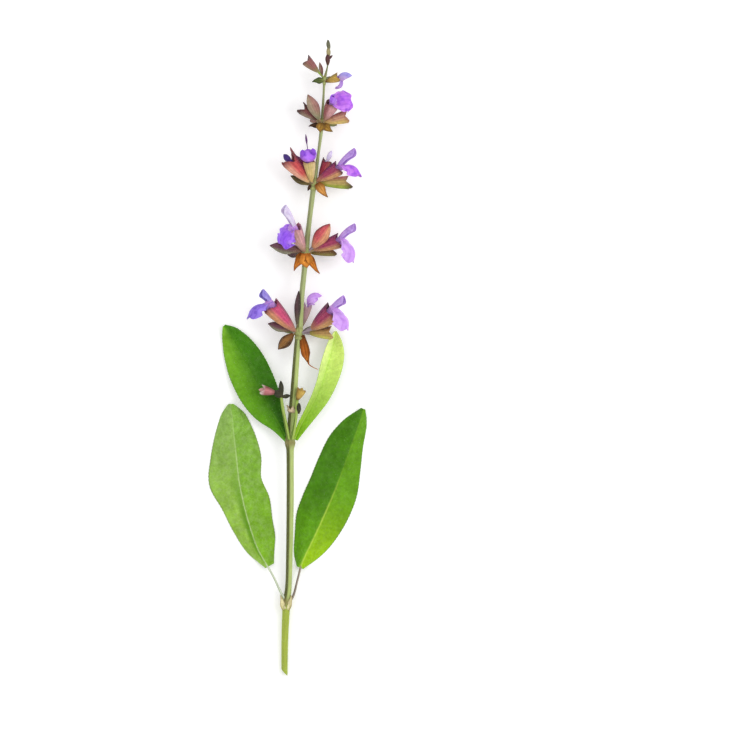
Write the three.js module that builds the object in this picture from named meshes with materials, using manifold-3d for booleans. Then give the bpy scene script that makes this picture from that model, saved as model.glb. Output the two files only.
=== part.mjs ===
/**
 * Cut sprig of flowering sage, lying on a flat surface.
 *
 * Frame: millimetres, +Z up. +Y runs along the stem from the cut end to the top bud, +X is to the right
 * seen from above. The sprig is laid out from its cut end, and the finished group is moved so that its
 * origin is the middle of the bottom of its bounding box.
 */
import * as THREE from 'three';
import Module from 'manifold-3d';

const wasm = await Module();
wasm.setup();

// ---------------------------------------------------------------- driving dimensions (mm, degrees)

const CLEARANCE = 0.16; // gap between neighbouring pieces
const LEAF_THICKNESS = 0.7;
const PETAL_THICKNESS = 0.62;
const CALYX_WALL = 0.6;
const ROUND_SIDES = 6; // sides of stalks, petioles and corolla tubes
const STEM_STEP = 9; // distance between stem sections
const STEM_SIDES = 8;
const FACE_RATIO = 0.8; // stem half width across a flat face, as a share of its half width across corners
const CUT_SLANT = 0.7; // how steeply the cut end leans, as rise over run
const FLOOR_DEPTH = 40;
const FLOOR_SPAN = 800;

/** Stem axis and half width across its corners: distance along Y, x, z, half width. */
const STEM = [
  [0, 0.0, 1.15, 1.2],
  [14, 0.2, 1.9, 1.25],
  [28.4, 1.2, 2.7, 1.75],
  [34, 1.6, 3.1, 1.5],
  [46, 2.0, 3.9, 1.5],
  [70, 2.4, 5.4, 1.55],
  [89, 2.4, 6.6, 1.6],
  [92.6, 2.4, 6.8, 2.0],
  [97, 2.6, 7.0, 1.65],
  [114, 3.6, 8.2, 1.5],
  [130, 4.8, 9.2, 1.3],
  [136.4, 6.0, 9.5, 1.45],
  [150, 7.0, 9.9, 1.2],
  [162, 8.0, 10.0, 1.15],
  [168.4, 8.2, 10.0, 1.3],
  [180, 10.0, 10.1, 1.05],
  [196, 12.0, 10.0, 1.1],
  [208, 13.6, 10.0, 0.85],
  [220, 15.2, 9.9, 0.9],
  [232, 15.8, 9.7, 0.65],
  [238, 16.3, 9.5, 0.75],
  [243, 17.4, 9.3, 0.5],
  [248, 18.0, 9.1, 0.45],
];

/**
 * Leaves. Each row of `line` is the midrib's x, y, z and the plan width of the blade to its left and
 * right. `fold` is the slope of the left and right half, up from the midrib. `droop` is how far the
 * margins bend down again.
 */
const LEAVES = {
  leaf_lower_left: {
    color: 0x7fae3c,
    fold: [2, 2],
    droop: 4.2,
    petiole: [[1.0, 28.2, 2.7], [-1.2, 32.0, 3.4], [-4.0, 38.0, 3.6]],
    line: [
      [-6.0, 42.8, 3.4, 1.0, 1.0],
      [-9.2, 50.4, 3.2, 5.6, 5.0],
      [-12.6, 59.0, 2.7, 7.4, 7.8],
      [-15.4, 67.8, 2.2, 9.0, 9.6],
      [-17.8, 77.0, 1.9, 11.8, 8.6],
      [-19.2, 86.0, 1.9, 10.0, 10.0],
      [-20.2, 95.0, 2.2, 7.6, 8.4],
      [-21.0, 103.0, 2.6, 4.6, 5.4],
      [-21.4, 107.8, 2.8, 3.0, 3.4],
    ],
  },
  leaf_lower_right: {
    color: 0x5f9c22,
    fold: [2, 2],
    droop: 4.2,
    petiole: [[1.4, 28.2, 2.7], [3.6, 31.0, 3.2], [5.2, 37.0, 3.4]],
    line: [
      [7.0, 43.6, 3.2, 1.0, 1.0],
      [10.4, 51.2, 2.6, 6.4, 4.6],
      [14.2, 59.2, 2.2, 9.8, 7.0],
      [17.6, 66.8, 2.0, 10.6, 8.6],
      [20.8, 74.4, 1.9, 10.8, 8.4],
      [24.0, 83.0, 1.9, 10.4, 6.2],
      [27.2, 92.0, 2.2, 9.6, 4.6],
      [30.0, 100.0, 2.6, 6.6, 3.4],
      [31.6, 105.6, 2.8, 3.6, 2.2],
    ],
  },
  leaf_upper_left: {
    color: 0x4f8f22,
    fold: [6, 10],
    droop: 2.0,
    petiole: [[2.2, 91.6, 6.9], [2.0, 92.4, 7.0], [1.7, 93.0, 7.0]],
    line: [
      [1.4, 93.6, 7.0, 0.9, 0.9],
      [-1.6, 99.2, 6.6, 2.6, 2.8],
      [-5.2, 105.4, 5.8, 5.4, 5.8],
      [-8.8, 111.8, 4.8, 6.8, 7.4],
      [-12.0, 118.2, 3.8, 7.4, 8.2],
      [-15.2, 124.6, 3.0, 7.4, 8.0],
      [-18.6, 130.8, 2.5, 5.8, 6.8],
      [-21.6, 136.0, 2.4, 3.8, 4.4],
      [-23.6, 139.4, 2.4, 2.2, 2.4],
    ],
  },
  leaf_upper_right: {
    color: 0x9ccf45,
    fold: [58, 24],
    droop: 0.6,
    petiole: [[2.7, 91.6, 6.9], [3.2, 92.4, 7.1], [3.7, 93.2, 7.2]],
    line: [
      [4.2, 94.2, 7.2, 0.8, 0.9],
      [6.8, 99.6, 6.8, 1.6, 2.6],
      [10.0, 105.4, 5.9, 2.2, 3.8],
      [13.0, 111.2, 4.9, 2.4, 4.8],
      [15.4, 117.2, 3.9, 2.4, 5.2],
      [17.2, 123.4, 2.9, 2.6, 5.4],
      [18.8, 129.0, 2.2, 2.4, 4.4],
      [19.6, 133.4, 1.7, 1.8, 2.6],
      [20.0, 136.8, 1.4, 0.9, 1.2],
    ],
  },
};

/**
 * Whorls, from the lowest up. `at` is the place of the whorl along the stem. Each calyx has the offset
 * of its base from the stem axis there, its direction in plan (`turn`, from +X towards +Y), its `lift`
 * above the horizontal, its length and the width of its mouth.
 *
 * A calyx may hold an open corolla: `face` is the corolla's own turn and lift and `roll` turns it about
 * that direction. `hood` and `lip` are each a length and the angles at which the petal leaves and ends,
 * from the face towards the stem's tip. The hood's last value scales its vault, the lip's is its half
 * width. Or a calyx may hold a closed bud, with a length and a width.
 *
 * A bract has its base, turn, lift, length and half width, and curls up or down by `curl`.
 */
const WHORLS = [
  {
    name: '1',
    at: 136.4,
    color: 0xa8525a,
    collar: 2.2,
    calyxes: [
      { name: 'left', base: [-2.2, 1.2, 1.4], turn: 131, lift: 12, length: 10.6, mouth: 6.8, color: 0x8a6ad8,
        face: [148, 28], roll: 0, hood: [10.6, 24, -16, 1], lip: [13.4, -6, -112, 4.0] },
      { base: [-2.6, 0.4, -1.2], turn: 171, lift: -10, length: 7.6, mouth: 4.6 },
      { base: [-2.4, -0.8, -0.4], turn: 227, lift: -8, length: 6.0, mouth: 3.8 },
      { base: [-0.4, 2.2, -3.1], turn: 92, lift: -4, length: 9.8, mouth: 2.3 },
      { name: 'back', base: [1.8, 2.6, -2.8], turn: 72, lift: -2, length: 6.8, mouth: 4.2, color: 0x8c74dc,
        face: [74, 2], roll: 12, hood: [8.8, 30, -104, 1.2], lip: [5.4, -24, -90, 2.8] },
      { name: 'right', base: [4.4, 1.0, 1.6], turn: 42, lift: 12, length: 9.6, mouth: 6.6, color: 0xb79aee,
        face: [36, 28], roll: 0, hood: [9.4, 16, -18, 1], lip: [12, -26, -122, 4.6] },
      { base: [3.2, -0.4, -1.2], turn: 3, lift: -8, length: 7.6, mouth: 4.6 },
      { base: [-1.2, 1.2, -2.4], turn: 140, lift: -50, length: 7.6, mouth: 4.4 },
      { base: [1.4, 1.0, -2.4], turn: 38, lift: -50, length: 7.6, mouth: 4.4 },
    ],
    bractColor: 0xb0661c,
    bracts: [
      { base: [1.9, -1.0, 0.2], turn: 275, lift: -9, length: 12.2, width: 1.5, curl: 18 },
    ],
  },
  {
    name: '2',
    at: 168.4,
    color: 0xb45a52,
    collar: 2.0,
    calyxes: [
      { name: 'left', base: [-0.8, 2.0, 2.6], turn: 101, lift: 26, length: 9.0, mouth: 5.6, color: 0x8a50f0,
        face: [160, 46], roll: -28, hood: [9, 34, 12, 1], lip: [12.4, -34, -108, 5.4] },
      { base: [-1.8, 0.2, 0.2], turn: 170, lift: 2, length: 8.8, mouth: 4.8 },
      { base: [2.8, 2.4, 1.4], turn: 54, lift: 14, length: 8.8, mouth: 5.6 },
      { name: 'right', base: [4.2, 1.2, 0.2], turn: 20, lift: 6, length: 8.0, mouth: 5.4, color: 0xc69cf2,
        face: [22, 26], roll: 0, hood: [11.6, 34, -8, 1.1], lip: [12.4, -36, -128, 4.6] },
      { base: [2.2, -0.6, -1.0], turn: 3, lift: -6, length: 9, mouth: 4.2 },
      { base: [-1.2, 1.0, -2.4], turn: 142, lift: -52, length: 8, mouth: 4.4 },
      { base: [1.4, 0.8, -2.4], turn: 36, lift: -52, length: 8, mouth: 4.4 },
    ],
    bractColor: 0xd98630,
    bracts: [
      { base: [-0.6, -1.4, 0.8], turn: 238, lift: -4, length: 7.6, width: 1.8, curl: 16 },
      { base: [0.9, -1.4, 0.8], turn: 307, lift: -4, length: 8.6, width: 1.8, curl: 16 },
    ],
  },
  {
    name: '3',
    at: 196,
    color: 0xbd4a48,
    collar: 1.8,
    calyxes: [
      { name: 'left', base: [-2.4, 2.2, 1.4], turn: 131, lift: 10, length: 10.8, mouth: 6.4, color: 0x4a3470,
        bud: [3.4, 2.6] },
      { name: 'front', base: [-1.4, 2.4, 3.2], turn: 93, lift: 26, length: 7.8, mouth: 5, color: 0xa35cf0,
        face: [100, 40], roll: 0, hood: [10.8, 6, -6, 0.4], lip: [8, 8, -62, 4.2] },
      { base: [-1.8, 0.4, -0.2], turn: 168, lift: -2, length: 6.4, mouth: 4.2 },
      { name: 'middle', base: [1.6, 1.6, 0.4], turn: 69, lift: 4, length: 9, mouth: 4.8, color: 0xcbb4ec,
        bud: [4, 2.2] },
      { name: 'right', base: [3.4, 1.6, 0.6], turn: 30, lift: 6, length: 7.2, mouth: 5.6, color: 0xbd86ee,
        face: [32, 26], roll: 0, hood: [11.4, 34, -4, 1.1], lip: [10.4, -6, -78, 4.4] },
      { base: [2.6, -0.4, -1.0], turn: -4, lift: -4, length: 9.4, mouth: 4.2 },
      { base: [-1.2, 1.0, -2.4], turn: 140, lift: -54, length: 8, mouth: 4.2 },
      { base: [1.2, 0.8, -2.4], turn: 36, lift: -54, length: 8, mouth: 4.2 },
    ],
    bractColor: 0xb4692c,
    bracts: [
      { base: [0.9, -1.2, 0.6], turn: 312, lift: -6, length: 6.8, width: 1.3, curl: 14 },
      { base: [-1.2, -0.9, 0.4], turn: 236, lift: -8, length: 3.4, width: 1.0, curl: 10 },
    ],
  },
  {
    name: '4',
    at: 220,
    color: 0x8f5a4c,
    collar: 1.65,
    calyxes: [
      { base: [-1.6, 1.8, 1.8], turn: 112, lift: 12, length: 8, mouth: 4.6 },
      { base: [-2.4, 1.0, 0.4], turn: 143, lift: 4, length: 6.8, mouth: 4.6 },
      { name: 'right', base: [1.2, 2.8, 2.6], turn: 66, lift: 26, length: 5.6, mouth: 5, color: 0xa85cf0,
        face: [26, 46], roll: 84, hood: [5.4, 40, 10, 0.9], lip: [10, -18, -86, 5] },
      { base: [1.6, 0.8, 0.6], turn: 13, lift: 3, length: 8, mouth: 4.8 },
      { base: [-0.8, 0.8, -2.2], turn: 140, lift: -58, length: 7.8, mouth: 4 },
      { base: [1.2, 0.6, -2.2], turn: 36, lift: -58, length: 7.8, mouth: 4 },
    ],
    bractColor: 0x5a3424,
    bracts: [
      { base: [-1.0, -0.7, 0.6], turn: 184, lift: -4, length: 4.4, width: 1.1, curl: 10 },
      { base: [1.0, -1.0, 0.6], turn: 312, lift: -6, length: 3.2, width: 1.0, curl: 10 },
    ],
  },
  {
    name: '5',
    at: 238,
    color: 0xb07c50,
    collar: 1.45,
    calyxes: [
      { base: [-2.4, 2.8, 0.8], turn: 131, lift: 6, length: 5.4, mouth: 4.2 },
      { name: 'right', base: [0.8, -0.2, 0.6], turn: 8, lift: 4, length: 4.8, mouth: 4.2, color: 0xcab8f0,
        face: [14, 24], roll: 20, hood: [5.6, 40, -24, 1], lip: [5.4, -14, -118, 2.8] },
      { base: [0.0, 0.6, -1.4], turn: 80, lift: -68, length: 5, mouth: 2.8 },
    ],
    bractColor: 0x4c5a24,
    bracts: [
      { base: [-0.6, -0.8, 0.5], turn: 195, lift: -4, length: 4.6, width: 1.2, curl: 10 },
    ],
  },
];

/** Small shoots in the leaf axils: stalk points, then closed buds with base, turn, lift, length, width. */
const SHOOTS = {
  shoot_left: {
    color: 0x8a4a44,
    stalk: [[1.9, 93.8, 8.4], [0.8, 99.6, 9.6], [-0.4, 106.0, 9.4], [-1.2, 111.6, 9.6]],
    buds: [
      { base: [-1.4, 111.4, 9.6], turn: 158, lift: 4, length: 8.8, width: 3.6 },
      { base: [-1.2, 111.2, 9.8], turn: 90, lift: 4, length: 6.4, width: 2.0 },
      { base: [-1.4, 111.2, 9.7], turn: 6, lift: 2, length: 2.6, width: 1.6 },
    ],
  },
  shoot_right: {
    color: 0xa08a3c,
    stalk: [[3.3, 94.0, 8.9], [4.4, 98.6, 10.5], [5.5, 104.6, 10.4], [5.8, 109.6, 10.2]],
    buds: [
      { base: [5.8, 109.4, 10.2], turn: 62, lift: 4, length: 5.6, width: 3.0 },
      { base: [5.7, 103.6, 10.2], turn: 72, lift: 14, length: 4.4, width: 1.8 },
    ],
  },
};

/** Buds that end the stem, stacked along it: distance along Y, turn, length, width. */
const TOP_BUDS = [
  { at: 243.4, turn: 92, length: 4.8, width: 2.2 },
  { at: 245.6, turn: 62, length: 2.8, width: 1.2 },
  { at: 247.4, turn: 90, length: 3.6, width: 1.5 },
  { at: 250.0, turn: 93, length: 4.0, width: 1.9 },
];

/** Dry scales round the stem above the upper leaf pair. */
const SCALES = { at: 104.6, length: 1.6, spread: 0.75, color: 0xb9a070 };

// ---------------------------------------------------------------- small helpers

const { degToRad, lerp, clamp } = THREE.MathUtils;
const UP = new THREE.Vector3(0, 0, 1);
const ALONG = new THREE.Vector3(0, 1, 0);
const vec = (values) => new THREE.Vector3(...values);

/** Unit vector from a turn in plan and a lift above the horizontal. */
function direction(turn, lift) {
  const flat = Math.cos(degToRad(lift));
  return vec([flat * Math.cos(degToRad(turn)), flat * Math.sin(degToRad(turn)), Math.sin(degToRad(lift))]);
}

/** Smooth values of the columns after the first, where the first column is `key`. */
function columnsAt(rows, key) {
  const last = rows.length - 1;
  let i = 0;
  while (i < last - 1 && key > rows[i + 1][0]) i += 1;
  const slope = (row, column) => {
    const before = rows[Math.max(row - 1, 0)];
    const after = rows[Math.min(row + 1, last)];
    return (after[column] - before[column]) / (after[0] - before[0]);
  };
  const span = rows[i + 1][0] - rows[i][0];
  const t = clamp((key - rows[i][0]) / span, 0, 1);
  const values = [];
  for (let column = 1; column < rows[i].length; column += 1) {
    const from = rows[i][column];
    const to = rows[i + 1][column];
    const rise = t * t * (3 - 2 * t);
    const lead = t * (1 - t) * (1 - t) * slope(i, column) * span;
    const tail = t * t * (t - 1) * slope(i + 1, column) * span;
    values.push(lerp(from, to, rise) + lead + tail);
  }
  return values;
}

/** Rows with a first column added that runs evenly from 0 to 1. */
function keyed(rows) {
  return rows.map((row, i) => [i / (rows.length - 1), ...row]);
}

/** Closed manifold solid from points and triangles, turned to face outwards. */
function solid(points, faces) {
  let volume = 0;
  for (const [a, b, c] of faces) {
    volume += points[a].dot(new THREE.Vector3().crossVectors(points[b], points[c]));
  }
  const outward = volume > 0 ? faces : faces.map(([a, b, c]) => [a, c, b]);
  return new wasm.Manifold(new wasm.Mesh({
    numProp: 3,
    vertProperties: new Float32Array(points.flatMap((p) => [p.x, p.y, p.z])),
    triVerts: new Uint32Array(outward.flat()),
  }));
}

/** Solid through rings of equally many points, closed by a point at each end. */
function loft(start, rings, end) {
  const sides = rings[0].length;
  const points = [start, ...rings.flat(), end];
  const faces = [];
  const index = (ring, side) => 1 + ring * sides + (side % sides);
  for (let side = 0; side < sides; side += 1) {
    faces.push([0, index(0, side + 1), index(0, side)]);
    for (let ring = 0; ring < rings.length - 1; ring += 1) {
      faces.push([index(ring, side), index(ring, side + 1), index(ring + 1, side)]);
      faces.push([index(ring, side + 1), index(ring + 1, side + 1), index(ring + 1, side)]);
    }
    faces.push([index(rings.length - 1, side), index(rings.length - 1, side + 1), points.length - 1]);
  }
  return solid(points, faces);
}

/** Middle of a ring's points. */
function centre(ring) {
  return ring.reduce((sum, p) => sum.add(p), new THREE.Vector3()).divideScalar(ring.length);
}

/** Ring of `sides` points round `middle`, in the plane across `axis`. */
function ringAt(middle, axis, radius, sides, across = UP) {
  const side = new THREE.Vector3().crossVectors(axis, across).normalize();
  const top = new THREE.Vector3().crossVectors(side, axis).normalize();
  return Array.from({ length: sides }, (_, k) => {
    const angle = (2 * Math.PI * k) / sides;
    const reach = typeof radius === 'function' ? radius(k) : radius;
    return middle.clone()
      .addScaledVector(side, reach * Math.sin(angle))
      .addScaledVector(top, reach * Math.cos(angle));
  });
}

/** Round rod along a smooth line through `points`, with radii spaced evenly along it. */
function rod(points, radii, steps = points.length * 2) {
  const curve = new THREE.CatmullRomCurve3(points);
  const table = keyed(radii.map((r) => [r]));
  const rings = [];
  for (let i = 0; i <= steps; i += 1) {
    const t = i / steps;
    rings.push(ringAt(curve.getPoint(t), curve.getTangent(t), columnsAt(table, t)[0], ROUND_SIDES));
  }
  return loft(centre(rings[0]), rings, centre(rings.at(-1)));
}

/**
 * Thin solid on both sides of a grid of points, with the same triangles on both faces. `thickness` may
 * be a function of row and column. Where `flat` holds, the faces lie straight above and below.
 */
function blade(grid, thickness, flat = () => false) {
  const rows = grid.length;
  const columns = grid[0].length;
  const points = [];
  const at = (i, j) => grid[clamp(i, 0, rows - 1)][clamp(j, 0, columns - 1)];
  for (const side of [0.5, -0.5]) {
    for (let i = 0; i < rows; i += 1) {
      for (let j = 0; j < columns; j += 1) {
        const forward = at(i + 1, j).clone().sub(at(i - 1, j));
        const across = at(i, j + 1).clone().sub(at(i, j - 1));
        const normal = flat(at(i, j)) ? UP : across.cross(forward).normalize();
        const depth = typeof thickness === 'function' ? thickness(i, j, side) : thickness;
        points.push(at(i, j).clone().addScaledVector(normal, side * depth));
      }
    }
  }
  const faces = [];
  const under = rows * columns;
  const index = (i, j) => i * columns + j;
  for (let i = 0; i < rows - 1; i += 1) {
    for (let j = 0; j < columns - 1; j += 1) {
      const corners = [index(i, j), index(i, j + 1), index(i + 1, j + 1), index(i + 1, j)];
      for (const [a, b, c] of [[0, 1, 2], [0, 2, 3]]) {
        faces.push([corners[a], corners[b], corners[c]]);
        faces.push([under + corners[a], under + corners[c], under + corners[b]]);
      }
    }
  }
  const rim = [];
  for (let j = 0; j < columns - 1; j += 1) rim.push(index(0, j));
  for (let i = 0; i < rows - 1; i += 1) rim.push(index(i, columns - 1));
  for (let j = columns - 1; j > 0; j -= 1) rim.push(index(rows - 1, j));
  for (let i = rows - 1; i > 0; i -= 1) rim.push(index(i, 0));
  rim.forEach((a, k) => {
    const b = rim[(k + 1) % rim.length];
    faces.push([a, under + b, b], [a, under + a, under + b]);
  });
  return solid(points, faces);
}

/** The largest of the separate bodies of a solid. */
function largest(shape) {
  const bodies = shape.decompose();
  return bodies.reduce((best, body) => (body.volume() > best.volume() ? body : best));
}

/** One solid from several that touch. */
function joined(shapes) {
  return shapes.reduce((whole, shape) => whole.add(shape));
}

/** Block below the surface that the sprig lies on. */
function floorBlock() {
  const half = FLOOR_SPAN / 2;
  const corner = (x, y, z) => vec([x * half, y * half, z]);
  const low = [[1, 1], [-1, 1], [-1, -1], [1, -1]].map(([x, y]) => corner(x, y, -FLOOR_DEPTH));
  const high = low.map((p) => p.clone().setZ(0));
  return loft(vec([0, 0, -FLOOR_DEPTH]), [low, high], vec([0, 0, 0]));
}

// ---------------------------------------------------------------- stem

/** Point, tangent and half width of the stem at a distance along Y. */
function stemAt(y) {
  const [x, z, radius] = columnsAt(STEM, y);
  const [nextX, nextZ] = columnsAt(STEM, y + 0.5);
  const tangent = vec([nextX - x, 0.5, nextZ - z]).normalize();
  return { point: vec([x, y, z]), tangent, radius };
}

/** Square stem with one corner up and a slanting cut end; `grow` widens it all round. */
function stemSolid(grow = 0) {
  const end = STEM.at(-1)[0];
  const steps = Math.round(end / STEM_STEP);
  const rings = [];
  for (let i = 0; i <= steps; i += 1) {
    const { point, tangent, radius } = stemAt((i / steps) * end);
    const ring = ringAt(point, tangent, (k) => (radius + grow) * (k % 2 ? FACE_RATIO : 1), STEM_SIDES);
    if (i === 0) ring.forEach((p) => p.add(vec([0, -(p.x - point.x) * CUT_SLANT - grow, 0])));
    rings.push(ring);
  }
  return loft(centre(rings[0]), rings, centre(rings.at(-1)));
}

// ---------------------------------------------------------------- leaves

const LEAF_ROWS = 16;
const LEAF_COLUMNS = 7;
const RIB_DEPTH = 0.8; // how far the midrib stands out under the base of the blade
const PETIOLE_RADII = [1.0, 0.85, 0.8, 0.75, 0.6];
const PETIOLE_STEPS = 5;
const LEAF_SCALLOP = 0.03; // share of the half width that the scallops take
const TIP_START = 0.86; // share of the length at which the tip begins to round off

/** Grid of points on a leaf's middle surface, from base to tip and from left to right margin. */
function leafGrid({ line, fold, droop }) {
  const table = keyed(line);
  const grid = [];
  for (let i = 0; i < LEAF_ROWS; i += 1) {
    const t = Math.sin((i / (LEAF_ROWS - 1)) * 0.5 * Math.PI * 0.96) / Math.sin(0.48 * Math.PI);
    const [x, y, z, left, right] = columnsAt(table, t);
    const [ax, ay] = columnsAt(table, clamp(t - 0.02, 0, 1));
    const [bx, by] = columnsAt(table, clamp(t + 0.02, 0, 1));
    const across = vec([by - ay, -(bx - ax), 0]).normalize();
    const tip = clamp((t - TIP_START) / (1 - TIP_START), 0, 1);
    const taper = Math.sqrt(1 - 0.9 * tip * tip) * (1 + (i % 2 ? LEAF_SCALLOP : -LEAF_SCALLOP));
    const row = [];
    for (let j = 0; j < LEAF_COLUMNS; j += 1) {
      const share = (2 * j) / (LEAF_COLUMNS - 1) - 1;
      const width = (share < 0 ? left : right) * taper;
      const slope = Math.tan(degToRad(share < 0 ? fold[0] : fold[1]));
      const height = z + slope * Math.abs(share) * width - droop * share * share * clamp(width / 4, 0, 1);
      const p = vec([x, y, 0]).addScaledVector(across, share * width);
      row.push(p.setZ(Math.max(height, LEAF_THICKNESS / 2)));
    }
    grid.push(row);
  }
  return grid;
}

/** Leaf blade with its petiole, and with its midrib raised on the underside. */
function leafSolid(leaf) {
  const grid = leafGrid(leaf);
  const resting = (p) => p.z < LEAF_THICKNESS / 2 + 0.01;
  const middle = (LEAF_COLUMNS - 1) / 2;
  const rib = (i, j, side) => {
    const raised = side < 0 && j === middle ? RIB_DEPTH * (1 - i / (LEAF_ROWS - 1)) : 0;
    return LEAF_THICKNESS + 2 * raised;
  };
  const stalk = [...leaf.petiole.map(vec), grid[0][middle], grid[1][middle]];
  return joined([blade(grid, rib, resting), rod(stalk, PETIOLE_RADII, PETIOLE_STEPS)]);
}

// ---------------------------------------------------------------- flowers

/** Axes of a flower: along its direction, towards the stem's tip, and across, rolled about the first. */
function flowerAxes(turn, lift, roll = 0) {
  const axis = direction(turn, lift);
  const top = ALONG.clone().addScaledVector(axis, -ALONG.dot(axis)).normalize();
  top.applyAxisAngle(axis, degToRad(roll));
  return { axis, top, across: new THREE.Vector3().crossVectors(axis, top) };
}

/** Outer profile of a calyx: share of its length, share of its mouth's half width. */
const CALYX_PROFILE = [[0, 0.36], [0.36, 0.76], [1, 1]];
const CALYX_SIDES = 10;
/** How far each point of the mouth stands out, as a share of the length, from the top tooth round. */
const CALYX_TEETH = [0.1, 0.0, 0.15, -0.1, 0.26, 0.06, 0.26, -0.1, 0.15, 0.0];
const TOOTH_FLARE = 1.1; // how much a tooth that stands out also spreads
const CUP_DEPTH = 0.62; // share of the length that is hollow

/**
 * Ribbed two-lipped calyx, open at the mouth, on a pedicel that tapers down to `root`; `grow` thickens
 * its wall both ways.
 */
function calyxSolid({ root, base, turn, lift, length, mouth }, grow = 0) {
  const { axis, top } = flowerAxes(turn, lift);
  const half = mouth / 2;
  const ring = (share, radius, teeth) => {
    const middle = base.clone().addScaledVector(axis, share * length);
    const flare = (k) => (teeth ? 1 + TOOTH_FLARE * Math.max(CALYX_TEETH[k], 0) : 1);
    const rib = (k) => (k % 2 ? 0.93 : 1.03) * flare(k);
    const points = ringAt(middle, axis, (k) => radius * rib(k), CALYX_SIDES, top);
    return points.map((p, k) => p.addScaledVector(axis, teeth ? CALYX_TEETH[k] * length + grow : 0));
  };
  const outer = CALYX_PROFILE.map(([share, r]) => ring(share, half * r + grow, share === 1));
  const inner = [ring(1, half - CALYX_WALL - grow, true), ring(0.6, half * 0.82 - CALYX_WALL - grow, false)];
  const floor = base.clone().addScaledVector(axis, (1 - CUP_DEPTH) * length - grow);
  return loft(root, [...outer, ...inner], floor);
}

/** Points along an arc that starts at `from` and bends from one angle to another. */
function petalLine(from, axes, [length, start, end], steps) {
  const line = [];
  const p = from.clone();
  for (let i = 0; i <= steps; i += 1) {
    const angle = degToRad(lerp(start, end, i / steps));
    const [cos, sin] = [Math.cos(angle), Math.sin(angle)];
    const ahead = axes.axis.clone().multiplyScalar(cos).addScaledVector(axes.top, sin);
    const normal = axes.axis.clone().multiplyScalar(-sin).addScaledVector(axes.top, cos);
    line.push({ t: i / steps, point: p.clone(), ahead, normal });
    p.addScaledVector(ahead, length / steps);
  }
  return line;
}

const HOOD_STEPS = 4;
const HOOD_COLUMNS = 4;
/** Hood: share of its length, radius of its vault, half angle of the vault. */
const HOOD_SHAPE = [[0, 0.7, 80], [0.35, 1.9, 62], [0.75, 2.0, 66], [1, 0.9, 60]];

/** Upper lip: a narrow vaulted hood. */
function hoodSolid(from, axes, hood) {
  const grid = petalLine(from, axes, hood, HOOD_STEPS).map(({ t, point, normal }) => {
    const [vault, angle] = columnsAt(HOOD_SHAPE, t);
    const radius = Math.max(vault * hood[3], 0.5);
    return Array.from({ length: HOOD_COLUMNS }, (_, j) => {
      const turn = degToRad(angle) * ((2 * j) / (HOOD_COLUMNS - 1) - 1);
      return point.clone()
        .addScaledVector(axes.across, radius * Math.sin(turn))
        .addScaledVector(normal, radius * (Math.cos(turn) - 1));
    });
  });
  return blade(grid, PETAL_THICKNESS);
}

const LIP_STEPS = 7;
const LIP_COLUMNS = 5;
/** Lower lip: share of its length, share of its half width, cupping. */
const LIP_SHAPE = [[0, 0.18, 0.5], [0.2, 0.48, 0.35], [0.4, 0.78, 0.1], [0.55, 0.6, -0.1], [0.8, 1, -0.3],
  [1, 0.62, -0.35]];
const LIP_NOTCH = 0.8;
const LIP_RUFFLE = 0.35;

/** Lower lip: two side lobes, then a broad notched middle lobe with a ruffled edge. */
function lipSolid(from, axes, lip) {
  const grid = petalLine(from, axes, lip, LIP_STEPS).map(({ t, point, ahead, normal }, i) => {
    const [width, cup] = columnsAt(LIP_SHAPE, t);
    const half = width * lip[3];
    return Array.from({ length: LIP_COLUMNS }, (_, j) => {
      const share = (2 * j) / (LIP_COLUMNS - 1) - 1;
      const ruffle = LIP_RUFFLE * t * share * share * (i % 2 ? 1 : -1);
      const notch = LIP_NOTCH * (1 - Math.abs(share)) * clamp((t - 0.8) / 0.2, 0, 1);
      return point.clone()
        .addScaledVector(axes.across, half * share)
        .addScaledVector(normal, cup * half * share * share + ruffle)
        .addScaledVector(ahead, -notch);
    });
  });
  return blade(grid, PETAL_THICKNESS);
}

const TUBE_START = 0.5; // share of the calyx length at which the corolla tube begins
const TUBE_RATIO = 0.3; // tube radius as a share of the mouth's width
const TUBE_BEYOND = 1.4; // how far the throat stands out of the calyx

/** Radius of a corolla tube that leaves clearance inside its calyx. */
function tubeRadius({ mouth }) {
  return Math.min(TUBE_RATIO * mouth, 0.43 * mouth - CALYX_WALL - 2.4 * CLEARANCE);
}

/** Room for a corolla's tube inside its calyx, which the neighbours must not reach into. */
function tubeRoom(calyx) {
  const { axis } = flowerAxes(calyx.turn, calyx.lift);
  const along = (share) => calyx.base.clone().addScaledVector(axis, share * calyx.length);
  const radius = tubeRadius(calyx) + CLEARANCE;
  return rod([along(TUBE_START - 0.04), along(1.1)], [radius, radius], 1);
}

/** Open corolla: a tube out of the calyx, a hood and a lower lip. */
function corollaSolid(calyx) {
  const { axis } = flowerAxes(calyx.turn, calyx.lift);
  const axes = flowerAxes(...calyx.face, calyx.roll);
  const radius = tubeRadius(calyx);
  const along = (share) => calyx.base.clone().addScaledVector(axis, share * calyx.length);
  const throat = along(1.06).addScaledVector(axes.axis, TUBE_BEYOND);
  const tube = rod([along(TUBE_START), along(0.8), along(1.02), throat],
    [radius * 0.8, radius * 0.9, radius, radius * 1.15], 4);
  const root = throat.clone().addScaledVector(axes.axis, -1.2);
  const high = root.clone().addScaledVector(axes.top, radius * 0.5);
  const low = root.clone().addScaledVector(axes.top, -radius * 0.5);
  return joined([tube, hoodSolid(high, axes, calyx.hood), lipSolid(low, axes, calyx.lip)]);
}

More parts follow.
